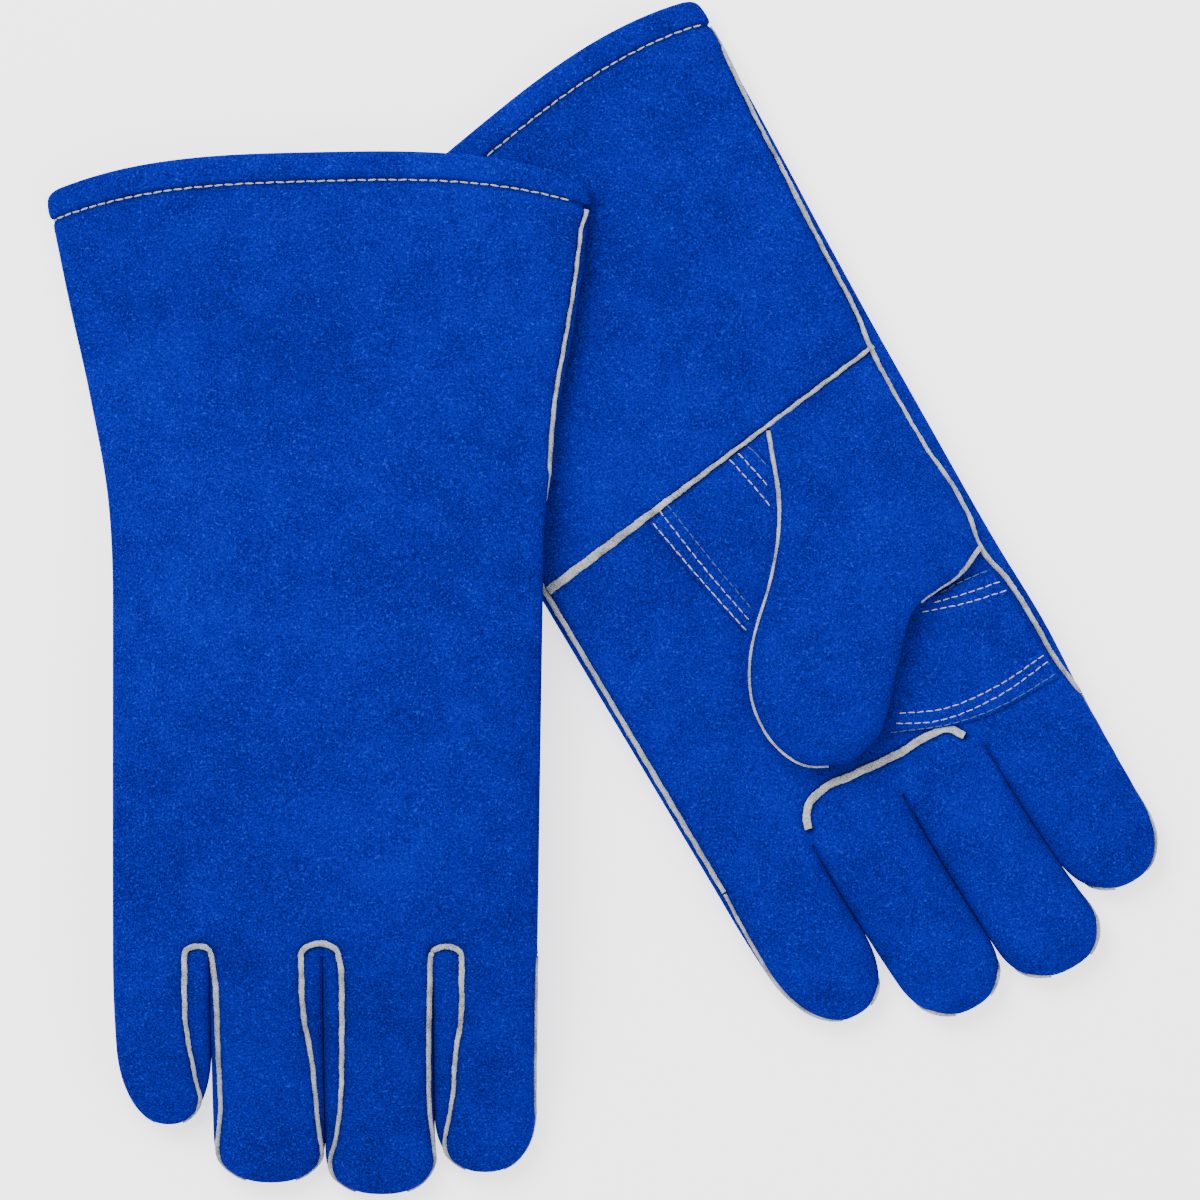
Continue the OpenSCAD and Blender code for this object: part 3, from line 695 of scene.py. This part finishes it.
PATCH_RIBS = (
    ((-27.5, 2.2), (16.8, 8.6)), ((-23, -22), (20, -6)), ((-17, -46), (25, -26)),
    ((-9, -70), (32, -45)), ((4, -95), (40, -60)), ((24, -107), (46, -66.5)),
    ((48, -112.5), (57, -67.5)), ((69.5, -112.5), (67, -68)),
)


def build_patch(glove):
    """The crescent sewn over the palm, thin, with rounded edges all round."""
    steps = np.linspace(0, 1, len(PATCH_RIBS))
    t = np.linspace(0, 1, 90)
    ends = [[smooth_table(list(zip(steps, [r[e][k] for r in PATCH_RIBS])), t) for k in (0, 1)]
            for e in (0, 1)]
    over = np.array([(0.0, 0.2), (0.0, 0.9), (0.006, 1.3), (0.02, 1.62), (0.05, 1.8)]
                    + [(v, 1.8) for v in np.linspace(0.08, 0.92, 44)]
                    + [(0.95, 1.8), (0.98, 1.62), (0.994, 1.3), (1.0, 0.9), (1.0, 0.2)])
    u, h = over[:, 0], over[:, 1]
    x = mix(ends[0][0][:, None], ends[1][0][:, None], u)
    y = mix(ends[0][1][:, None], ends[1][1][:, None], u)
    return [(on_face(glove, PALM, x, y, -h[None, :] + 0 * x), False)]


# ---------------------------------------------------------------- fingers and thumb
def finger_steps(spacing, length):
    root = np.linspace(0, 0.68, int(0.68 * length / spacing))
    tip = 0.68 + 0.32 * np.sin(np.linspace(0, math.pi / 2, 16))[1:]
    return np.r_[root, tip]


def build_finger(glove, i, face, spacing):
    a, b = FINGER_SEAMS[i]
    steps = finger_steps(spacing, FINGER_L[glove][i])

    def ends(t):
        low, high = smooth_table(a, t), smooth_table(b, t)
        return (low, high) if face == BACK else (high, low + 4)

    qs, edge = panel(lambda t, q: finger_skin(glove, i, min(t, 0.93), q), steps, ends, spacing)
    edge = edge * np.minimum(1, np.maximum(0.15, rounding(steps, TIP_START[glove][i])))[:, None]
    return [(finger_skin(glove, i, steps[:, None], qs, edge), False, seam_tone(edge))]


def build_finger_welt(glove, i, width, proud):
    parts, surface = [], partial(finger_skin, glove, i)
    t = np.linspace(0.0, 0.985, int(FINGER_L[glove][i]))
    for k, table in enumerate(FINGER_SEAMS[i]):
        outer = (i, k) in ((0, 0), (3, 1))
        q = smooth_table(table, t)
        thin = width * (0.4 if outer else 1) * mix(1, 0.62, ease(0.0, 0.9, t))
        high = proud * (0.6 if outer else 1)
        parts.append((strip_on(surface, t, q, thin, high, i * 3 + k), False))
    return parts


def build_thumb(glove, face, spacing):
    t = np.r_[np.linspace(0, 0.72, 60), 0.72 + 0.28 * np.sin(np.linspace(0, math.pi / 2, 16))[1:]]
    ends, turned = (((-1.0, 1.3), (True, False)), ((1.3, 3.0), (False, True)))[face == PALM]
    qs, edge = panel(lambda u, q: thumb_skin(glove, min(u, 0.9), q), t, lambda _: ends,
                     spacing, turned)
    return [(thumb_skin(glove, t[:, None], qs, edge * 0.8), False, seam_tone(edge))]


def build_thumb_welt(glove, width, proud):
    surface = partial(thumb_skin, glove)
    t = np.linspace(0.004, 0.96, 110)
    thin = width * mix(0.72, 0.32, ease(0.45, 0.9, t))
    left = strip_on(surface, t, np.full(len(t), -0.998), thin, proud, 3)
    u = np.linspace(0.0, 0.31, 40)
    tapered = width * mix(1.1, 0.4, ease(0.0, 0.3, u))
    right = strip_on(surface, u, np.full(len(u), 1.0), tapered, proud, 4)
    return [(left, False), (right, False)]


# ---------------------------------------------------------------- welts, stitches, linings
def build_side_welts(glove, width, proud):
    parts, surface = [], partial(skin, glove)
    rows = np.linspace(-0.995, HEM_ROW - 0.004, 250)
    for side in (0, 1):
        q = seam_place(glove, rows, side)
        share = smooth_table(SIDE_WIDTHS[glove][side], rows)
        wide = width * (share + 0.08 * np.sin(rows * 9 + side))
        parts.append((strip_on(surface, rows, q, wide, proud, 11 + side), False))
    q = np.linspace(1.05, 2.95, 150)
    x = mid_x(glove, 0.0) + reach(glove, 0.0) * fold(q)[0]
    wide = width * mix(1.6, 0.75, ease(-60, 20, x))
    parts.append((strip_on(surface, np.zeros(len(q)), q, wide, proud, 17, (0.003, 0)), False))
    return parts


def build_crotch_welts(glove, width, proud):
    parts = [(face_strip(glove, BACK, curve(path, 0.8), width * 0.95, proud, k), False)
             for k, path in enumerate(crotch_paths(glove))]
    path = curve(BASE_SEAM)
    path = path[path[:, 1] > KNUCKLE_Y + 0.4]
    parts.append((face_strip(glove, PALM, path, width * 1.4, proud, 7), False))
    return parts


def capsule(start, end, out, radius):
    """One stitch: a rounded rod from start to end, slightly bowed."""
    axis = end - start
    length = np.linalg.norm(axis)
    axis = axis / length
    side = np.cross(axis, out)
    side /= np.linalg.norm(side)
    rise = np.cross(side, axis)
    u = np.array([0, 0.04, 0.14, 0.3, 0.5, 0.7, 0.86, 0.96, 1.0])
    r = radius * np.array([0.05, 0.5, 0.85, 1, 1, 1, 0.85, 0.5, 0.05])
    bow = radius * 0.55 * np.sin(u * math.pi) - radius * 0.25
    a = np.linspace(0, 2 * math.pi, 8, endpoint=False)
    ring = np.cos(a)[:, None] * side + np.sin(a)[:, None] * rise
    return (start + axis * length * u[:, None] + rise * bow[:, None])[:, None, :] + (
        r[:, None, None] * ring[None])


def stitches_along(points, outs, pitch, length, radius):
    """Single stitches spaced evenly along a path."""
    at = np.r_[0, np.cumsum(np.linalg.norm(np.diff(points, axis=0), axis=1))]
    parts = []
    for k in range(int(at[-1] / pitch)):
        a, b = k * pitch + 0.2, k * pitch + 0.2 + length
        if b > at[-1]:
            break
        ends = [np.array([np.interp(v, at, points[:, c]) for c in range(3)]) for v in (a, b)]
        out = np.array([np.interp((a + b) / 2, at, outs[:, c]) for c in range(3)])
        jog = np.cross(ends[1] - ends[0], out)
        jog = jog / np.linalg.norm(jog) * 0.12 * math.sin(k * 2.4 + at[-1])
        parts.append((capsule(ends[0] - jog, ends[1] + jog, out, radius), True))
    return parts


PATCH_ROWS = (
    ((-26, 2), (-21, -24), (-15.7, -48)), ((-22, 5), (-18, -21), (-13.2, -45)),
    ((-18.6, 5.2), (-15, -18), (-10.6, -42)), ((7.6, 8.2), (10.5, -5), (12.3, -15.3)),
    ((11.2, 8.6), (13.5, -1), (15, -9.2)), ((15.2, 9), (16.8, 4), (18, -1.7)),
    ((66, -68.6), (56, -67.4), (46, -67.2)), ((68, -74), (54, -71.4), (42, -68.4)),
    ((68.4, -77.7), (54, -74.6), (39, -69.8)),
    ((68.8, -103.2), (50.8, -104.6), (29.3, -102.3), (14, -95.5)),
    ((69, -105.8), (48.9, -107.8), (24, -104.4), (11.5, -98)),
    ((69, -110.8), (48.9, -111.3), (31, -108.6), (9, -100.3)),
)
FAINT_ROWS = (2, 5, 6, 11)
# Stitches of the patch, as shares of the hem's pitch, length and radius.
PATCH_STITCH = (0.88, 0.92, 0.8)
SEAM_GAP = 0.03


def build_stitches(glove, sizes, faint):
    """Hem stitches on both faces and the bold rows of the patch, or only the faint rows."""
    whole = sizes.stitch_pitch, sizes.stitch_length, sizes.stitch_radius
    small = [size * share for size, share in zip(whole, PATCH_STITCH)]
    parts = []
    for k, path in enumerate(PATCH_ROWS):
        if (k in FAINT_ROWS) != faint:
            continue
        line = curve(path)
        base = on_face(glove, PALM, line[:, 0], line[:, 1], -PATCH_TOP + 0.1)
        above = on_face(glove, PALM, line[:, 0], line[:, 1], -PATCH_TOP - 1)
        parts += stitches_along(base, above - base, *small)
    if not faint:
        near, far = (seam_place(glove, HEM_ROW, side) for side in (0, 1))
        for first, last in ((far, near), (near, far + 4)):
            q = np.linspace(first + SEAM_GAP, last - SEAM_GAP, 240)
            base = skin(glove, HEM_ROW, q, 0.35)
            above = skin(glove, HEM_ROW, q, -1.0)
            parts += stitches_along(base, above - base, *whole)
    return parts


def fleece(points, size):
    """Tufts of a fleece lining, as a small seeded shift of its points along z."""
    x, y = points[..., 0], points[..., 1]
    tuft = np.sin(x * 1.9 + 2 * np.sin(y * 0.7)) * np.sin(y * 2.1 + 1.7 * np.sin(x * 0.9))
    points = points.copy()
    points[..., 2] += size * tuft
    return points


def around(count):
    return np.linspace(-1, 3, count, endpoint=False)


def build_hand_lining(glove, part):
    """The fleece in a hand, or in a cuff, where it rises to the stitches of the hem."""
    rows, depth, count = np.linspace(-1, -0.01, 50), np.full(50, LINING_D + LINING_T), 120
    if part == "cuff":
        rows = np.r_[np.linspace(0.01, HEM_ROW - 0.05, 60), HEM_ROW - 0.03, HEM_ROW - 0.016,
                     HEM_ROW - 0.008, HEM_ROW - 0.006]
        depth, count = np.r_[np.full(60, depth[0]), 3.5, 3.1, 2.4, LINING_D], 200
    return [(fleece(skin(glove, rows[:, None], around(count), depth[:, None]), 0.25), True)]


def build_finger_lining(glove, part):
    """The fleece in a finger, or in a thumb, where it lies deeper towards the palm."""
    thumb = part == "thumb"
    t = np.r_[np.linspace(0, 0.9, 48 if thumb else 24), 0.94, 0.97, 0.99, 1.0][:, None]
    if thumb:
        depth = LINING_D + LINING_T * ease(0.5, 0.3, t)
        return [(thumb_skin(glove, t, around(60), depth), True)]
    return [(finger_skin(glove, FINGERS.index(part), t, around(40), LINING_D), True)]


def bend_of(glove, part, sizes):
    """Where a piece would start and stop bending past its joint: (first body, start, end). No bend
    is made from these points.
    """
    if part == "thumb":
        middle = (THUMB_START + THUMB_CORNER) / 2
        across = (THUMB_CORNER - THUMB_START) / np.linalg.norm(THUMB_CORNER - THUMB_START)
        away = middle + np.array([across[1], -across[0]]) * sizes.thumb_bend
        start, end = (on_face(glove, PALM, *at, -THUMB_FLOOR - THUMB_T / 2)
                      for at in (middle, away))
    else:
        i = FINGERS.index(part)
        x = (finger_side(glove, i, 0) + finger_side(glove, i, 1)) / 2
        start, end = (place(glove, x, KNUCKLE_Y - past, 0.0, half_t(-1.0))
                      for past in (0, sizes.bend))
    end[2] = start[2]
    return GLOVES[glove][1] + "_hand", tuple(start * MM), tuple(end * MM)


# ---------------------------------------------------------------- materials
class Socket:
    """A value in a material's node tree, with arithmetic."""

    def __init__(self, tree, output):
        self.tree, self.output = tree, output

    def math(self, operation, *values):
        return self.tree.node("ShaderNodeMath", {"operation": operation}, values)

    def __add__(self, other):
        return self.math("ADD", self, other)

    def __radd__(self, other):
        return self.math("ADD", other, self)

    def __sub__(self, other):
        return self.math("SUBTRACT", self, other)

    def __rsub__(self, other):
        return self.math("SUBTRACT", other, self)

    def __mul__(self, other):
        return self.math("MULTIPLY", self, other)

    def __rmul__(self, other):
        return self.math("MULTIPLY", other, self)

    def step(self, low, high):
        """0 below low and 1 above high, smooth between them."""
        settings = {"interpolation_type": "SMOOTHSTEP"}
        return self.tree.node("ShaderNodeMapRange", settings,
                              {"Value": self, "From Min": low, "From Max": high})


class Shader:
    """A material whose nodes are added in plain calls."""

    def __init__(self, name):
        self.material = bpy.data.materials.new(name)
        self.material.use_nodes = True
        self.nodes = self.material.node_tree.nodes
        self.nodes.clear()
        self.where = self.node("ShaderNodeTexCoord", {}, {}, "Object")

    def node(self, kind, settings, inputs, output=0):
        made = self.nodes.new(kind)
        for key, value in settings.items():
            setattr(made, key, value)
        pairs = inputs.items() if isinstance(inputs, dict) else enumerate(inputs)
        for key, value in pairs:
            if isinstance(value, Socket):
                self.material.node_tree.links.new(value.output, made.inputs[key])
            else:
                made.inputs[key].default_value = value
        return Socket(self, made.outputs[output]) if made.outputs else None

    def noise(self, scale, detail=2.0, rough=0.5):
        return self.node("ShaderNodeTexNoise", {}, {
            "Vector": self.where, "Scale": scale, "Detail": detail, "Roughness": rough}, "Fac")

    def mix(self, factor, a, b):
        a, b = (c if isinstance(c, Socket) else (*c, 1) for c in (a, b))
        return self.node("ShaderNodeMix", {"data_type": "RGBA"}, {0: factor, 6: a, 7: b}, 2)

    def close(self, colour, roughness, height, distance, settings):
        """Joins everything to one surface: settings are its constant values."""
        bump = self.node("ShaderNodeBump", {}, {
            "Strength": 1.0, "Distance": distance, "Height": height}, "Normal")
        surface = self.node("ShaderNodeBsdfPrincipled", {}, {
            "Base Color": colour, "Roughness": roughness, "Normal": bump, **settings})
        self.node("ShaderNodeOutputMaterial", {}, {"Surface": surface})


def scaled(colour, factor):
    return tuple(min(1, c * factor) for c in colour)


def suede(tree, colours):
    """Napped leather: fine speckle, lighter flecks, soft mottling and shaded seams."""
    nap = tree.noise(1500, 3, 0.65)
    fine = tree.noise(4200, 2, 0.6)
    fleck = tree.noise(1150, 2, 0.6).step(0.58, 0.7)
    soft = tree.noise(85)
    broad = tree.noise(19, 1)
    tone = (nap - 0.5) * 3.2 + (soft - 0.5) * 0.65 + (broad - 0.5) * 0.5 + (fine - 0.5) * 1.2 + 0.5
    colour = tree.mix(tone, colours.leather_dark, colours.leather_light)
    colour = tree.mix(fleck * 0.6, colour, colours.fleck)
    shade = tree.node("ShaderNodeAttribute", {"attribute_name": "seam_shade"}, {}, "Fac")
    colour = tree.mix(shade * 0.85, colour, colours.seam)
    tree.close(colour, 0.86 + (nap - 0.5) * 0.2, nap + fine * 0.6 + soft * 0.5, 0.00035, {
        "Specular IOR Level": 0.01})


def raw_leather(tree, light):
    """Undyed split leather with a fibrous surface."""
    fibre = tree.noise(1800, 4, 0.7)
    patch = tree.noise(160)
    colour = tree.mix((fibre - 0.5) * 2.4 + (patch - 0.5) * 1.3 + 0.5, scaled(light, 0.35),
                      scaled(light, 1.6))
    tree.close(colour, 0.9 + (fibre - 0.5) * 0.1, fibre + patch * 0.6, 0.0004, {
        "Specular IOR Level": 0.2})


def thread(tree, light):
    """Twisted sewing thread."""
    twist = tree.node("ShaderNodeTexWave", {"wave_type": "BANDS", "bands_direction": "DIAGONAL"}, {
        "Vector": tree.where, "Scale": 900.0, "Distortion": 1.5}, "Fac")
    fibre = tree.noise(3000)
    colour = tree.mix(twist * 0.7 + fibre * 0.3, scaled(light, 0.62), light)
    tree.close(colour, 0.65 + (fibre - 0.5) * 0.2, twist + fibre * 0.5, 0.0002, {
        "Specular IOR Level": 0.3})


def brushed(tree, light):
    """Fleece, brushed into tufts."""
    tuft = tree.noise(420, 4, 0.7)
    fine = tree.noise(2600)
    colour = tree.mix((tuft - 0.5) * 1.6 + (fine - 0.5) * 0.5 + 0.5, scaled(light, 0.4), light)
    tree.close(colour, 0.95 + (fine - 0.5) * 0.08, tuft + fine * 0.5, 0.0012, {
        "Sheen Weight": 0.3, "Sheen Roughness": 0.6, "Specular IOR Level": 0.1})


def floor_paint(tree, light):
    grain = tree.noise(30)
    colour = tree.mix(grain, scaled(light, 0.985), light)
    tree.close(colour, 0.85 + (grain - 0.5) * 0.02, grain, 0.00005, {
        "Specular IOR Level": 0.1, "Emission Color": (1, 1, 1, 1), "Emission Strength": 1.7})


def material(kind, scene):
    """Each material is made once and shared by all the pieces that use it."""
    if kind not in bpy.data.materials:
        colours = scene.glove_colours
        make, light = {"suede": (suede, colours), "raw_leather": (raw_leather, colours.welt),
                       "sewing_thread": (thread, colours.thread),
                       "faint_thread": (thread, colours.faint_thread),
                       "fleece": (brushed, colours.fleece),
                       "pale_floor": (floor_paint, colours.floor)}[kind]
        make(Shader(kind), light)
    return bpy.data.materials[kind]


# ---------------------------------------------------------------- properties and operators
def colour_property(name, text, default):
    return FloatVectorProperty(name=name, description=text, default=default, subtype="COLOR",
                               size=3, min=0.0, max=1.0)


def length_property(name, text, default, low, high):
    return FloatProperty(name=name, description=text, default=default, min=low, max=high,
                         unit="LENGTH")


class GloveSizes(bpy.types.PropertyGroup):
    """Sizes of the visual pieces."""

    spacing: length_property("Mesh Spacing", "Distance between leather points",
                             0.0014, 0.0008, 0.004)
    welt_width: length_property("Welt Width", "Width of the strips in the seams",
                                0.0019, 0.001, 0.005)
    welt_proud: length_property("Welt Height", "How far a welt stands out", 0.0006, 0.0, 0.002)
    stitch_pitch: length_property("Stitch Pitch", "From one stitch to the next",
                                  0.0035, 0.002, 0.006)
    stitch_length: length_property("Stitch Length", "Length of one stitch", 0.003, 0.001, 0.005)
    stitch_radius: length_property("Thread Radius", "Half the thread's thickness",
                                   0.0003, 0.0001, 0.001)
    bend: length_property("Finger Bend", "Length over which a finger bends", 0.026, 0.01, 0.04)
    thumb_bend: length_property("Thumb Bend", "Length over which a thumb bends",
                                0.025, 0.01, 0.04)


class GloveColours(bpy.types.PropertyGroup):
    """Colours of the visual pieces."""

    leather_dark: colour_property("Leather Dark", "Hollows of the nap", (0.0001, 0.0006, 0.085))
    leather_light: colour_property("Leather Light", "Raised fibres", (0.0003, 0.005, 0.36))
    fleck: colour_property("Fleck", "Pale fibres in the nap", (0.003, 0.052, 0.58))
    seam: colour_property("Seam Shade", "Leather sunk along a seam", (0.0001, 0.0018, 0.03))
    welt: colour_property("Welt", "Raw leather of the welts", (0.33, 0.343, 0.36))
    thread: colour_property("Thread", "Bold stitches", (0.6, 0.57, 0.46))
    faint_thread: colour_property("Faint Thread", "Stitches that sank in", (0.07, 0.13, 0.26))
    fleece: colour_property("Fleece", "Lining", (0.2, 0.21, 0.23))
    floor: colour_property("Floor", "Surface below the gloves", (0.93, 0.93, 0.93))


def add_piece(scene, name, parts, kind, slot, body, node=None, bend=None):
    """Adds a piece with its material, hides its CAD node and puts it in its body; a piece with a
    bend across a joint is only baked in place.
    """
    obj = make_mesh(name, parts)
    obj.data.materials.append(material(kind, scene))
    if node:
        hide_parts(node)
    if bend:
        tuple(bend[1])
        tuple(bend[2])
        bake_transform(obj)
    else:
        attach(obj, body)


class Step:
    """An operator that adds one group of pieces to each glove."""

    def execute(self, context):
        group = context.scene.glove_sizes
        sizes = SimpleNamespace(**{k: getattr(group, k) / MM for k in group.__annotations__})
        for glove, name in GLOVES:
            for piece in self.pieces(glove, name, sizes):
                add_piece(context.scene, *piece)
        return {"FINISHED"}


class GLOVES_OT_hands(Step, bpy.types.Operator):
    """Builds the leather panels of both hands and cuffs"""

    bl_idname = "gloves.hands"
    bl_label = "Hands and Cuffs"

    def pieces(self, glove, name, sizes):
        for piece, parts in (("back_panel", build_back(glove, sizes.spacing)),
                             ("palm_panel", build_palm(glove, sizes.spacing)),
                             ("cuff_front", build_cuff_front(glove, sizes.spacing)),
                             ("thumb_wing", build_wing(glove)),
                             ("palm_patch", build_patch(glove))):
            node = name + "_" + piece
            yield node + "_leather", parts, "suede", "leather", name + "_hand", node


class GLOVES_OT_fingers(Step, bpy.types.Operator):
    """Builds the backs and fronts of all eight fingers"""

    bl_idname = "gloves.fingers"
    bl_label = "Fingers"

    def pieces(self, glove, name, sizes):
        for i, finger in enumerate(FINGERS):
            body = name + "_" + finger
            bend = bend_of(glove, finger, sizes)
            for face, word in ((BACK, "_back"), (PALM, "_front")):
                parts = build_finger(glove, i, face, sizes.spacing)
                yield body + word + "_leather", parts, "suede", "leather", body, body + word, bend


class GLOVES_OT_thumbs(Step, bpy.types.Operator):
    """Builds both thumbs"""

    bl_idname = "gloves.thumbs"
    bl_label = "Thumbs"

    def pieces(self, glove, name, sizes):
        body = name + "_thumb"
        bend = bend_of(glove, "thumb", sizes)
        for face, word in ((BACK, "_outer"), (PALM, "_inner")):
            parts = build_thumb(glove, face, sizes.spacing)
            yield body + word + "_leather", parts, "suede", "leather", body, body + word, bend


class GLOVES_OT_welts(Step, bpy.types.Operator):
    """Builds the raw strips in the seams"""

    bl_idname = "gloves.welts"
    bl_label = "Welts"

    def pieces(self, glove, name, sizes):
        shape = sizes.welt_width, sizes.welt_proud
        for word, parts in (("_seam", build_side_welts(glove, *shape)),
                            ("_crotch", build_crotch_welts(glove, *shape))):
            yield (name + word + "_strips", parts, "raw_leather", "welt", name + "_hand",
                   name + word + "_welts")
        for part in ("thumb", *FINGERS):
            body = name + "_" + part
            parts = (build_thumb_welt(glove, *shape) if part == "thumb"
                     else build_finger_welt(glove, FINGERS.index(part), *shape))
            yield (body + "_strips", parts, "raw_leather", "welt", body, body + "_welt",
                   bend_of(glove, part, sizes))


class GLOVES_OT_stitching(Step, bpy.types.Operator):
    """Sews the hems and the palm patches, stitch by stitch"""

    bl_idname = "gloves.stitching"
    bl_label = "Stitching"

    def pieces(self, glove, name, sizes):
        yield (name + "_stitches", build_stitches(glove, sizes, False), "sewing_thread",
               "thread", name + "_hand", name + "_stitching")
        yield (name + "_faint_stitches", build_stitches(glove, sizes, True), "faint_thread",
               "thread", name + "_hand")


class GLOVES_OT_linings(Step, bpy.types.Operator):
    """Builds the fleece linings"""

    bl_idname = "gloves.linings"
    bl_label = "Linings"

    def pieces(self, glove, name, sizes):
        for part in ("hand", "cuff"):
            yield (f"{name}_{part}_fleece", build_hand_lining(glove, part), "fleece", "lining",
                   name + "_hand", f"{name}_{part}_lining")
        for part in ("thumb", *FINGERS):
            body = name + "_" + part
            yield (body + "_fleece", build_finger_lining(glove, part), "fleece", "lining",
                   body, body + "_lining", bend_of(glove, part, sizes))


# The stage, in metres, watts and, for the lens, millimetres. The camera looks straight down
# and sees VIEW_WIDTH across at VIEW_HEIGHT over the floor.
FLOOR_HALF, FLOOR_GAP = 6.0, 0.0002
ROOM_LIGHT = 0.7
LAMPS = (("key_light", (-0.7, 0.9, 1.7), 1.3, 68.0), ("fill_light", (1.1, -0.5, 1.6), 1.5, 20.0))
LENS, SENSOR = 600.0, 36.0
VIEW_WIDTH, VIEW_HEIGHT = 0.4104, 0.026


class GLOVES_OT_stage(bpy.types.Operator):
    """Adds the pale floor, the soft light and the camera above"""

    bl_idname = "gloves.stage"
    bl_label = "Stage"

    def execute(self, context):
        scene = context.scene
        mesh = bpy.data.meshes.new("floor")
        mesh.from_pydata([(x * FLOOR_HALF, y * FLOOR_HALF, 0) for x, y in
                          ((-1, -1), (1, -1), (1, 1), (-1, 1))], [], [(0, 1, 2, 3)])
        floor = bpy.data.objects.new("floor", mesh)
        floor.location.z = -FLOOR_GAP
        floor.data.materials.append(material("pale_floor", scene))
        scene.collection.objects.link(floor)
        world = bpy.data.worlds.new("soft_room")
        world.use_nodes = True
        background = world.node_tree.nodes["Background"].inputs
        background["Color"].default_value = (1, 1, 1, 1)
        background["Strength"].default_value = ROOM_LIGHT
        scene.world = world
        for name, spot, size, power in LAMPS:
            lamp = bpy.data.lights.new(name, "AREA")
            lamp.shape = "SQUARE"
            lamp.size = size
            lamp.energy = power
            light = bpy.data.objects.new(name, lamp)
            light.location = spot
            aim = math.atan2(math.hypot(spot[0], spot[1]), spot[2])
            light.rotation_euler = (aim, 0, math.atan2(spot[1], spot[0]) + math.pi / 2)
            scene.collection.objects.link(light)
        lens = bpy.data.cameras.new("camera")
        lens.lens, lens.sensor_width = LENS, SENSOR
        camera = bpy.data.objects.new("camera", lens)
        camera.location = (0, 0, VIEW_WIDTH * LENS / SENSOR + VIEW_HEIGHT)
        scene.collection.objects.link(camera)
        scene.camera = camera
        return {"FINISHED"}


STEPS = (GLOVES_OT_hands, GLOVES_OT_fingers, GLOVES_OT_thumbs, GLOVES_OT_welts,
         GLOVES_OT_stitching, GLOVES_OT_linings, GLOVES_OT_stage)


class GLOVES_PT_panel(bpy.types.Panel):
    """Lists the steps that build the gloves"""

    bl_label = "Welding Gauntlets"
    bl_idname = "GLOVES_PT_panel"
    bl_space_type = "VIEW_3D"
    bl_region_type = "UI"
    bl_category = "Gloves"

    def draw(self, context):
        for step in STEPS:
            self.layout.operator(step.bl_idname)
        for group in (context.scene.glove_sizes, context.scene.glove_colours):
            for name in group.__annotations__:
                self.layout.prop(group, name)


CLASSES = (GloveSizes, GloveColours, *STEPS, GLOVES_PT_panel)


def register():
    for cls in CLASSES:
        bpy.utils.register_class(cls)
    bpy.types.Scene.glove_sizes = PointerProperty(type=GloveSizes)
    bpy.types.Scene.glove_colours = PointerProperty(type=GloveColours)


def unregister():
    del bpy.types.Scene.glove_colours
    del bpy.types.Scene.glove_sizes
    for cls in reversed(CLASSES):
        bpy.utils.unregister_class(cls)


def main():
    register()
    for step in STEPS:
        group, name = step.bl_idname.split(".")
        getattr(getattr(bpy.ops, group), name)()


if __name__ == "__main__":
    main()
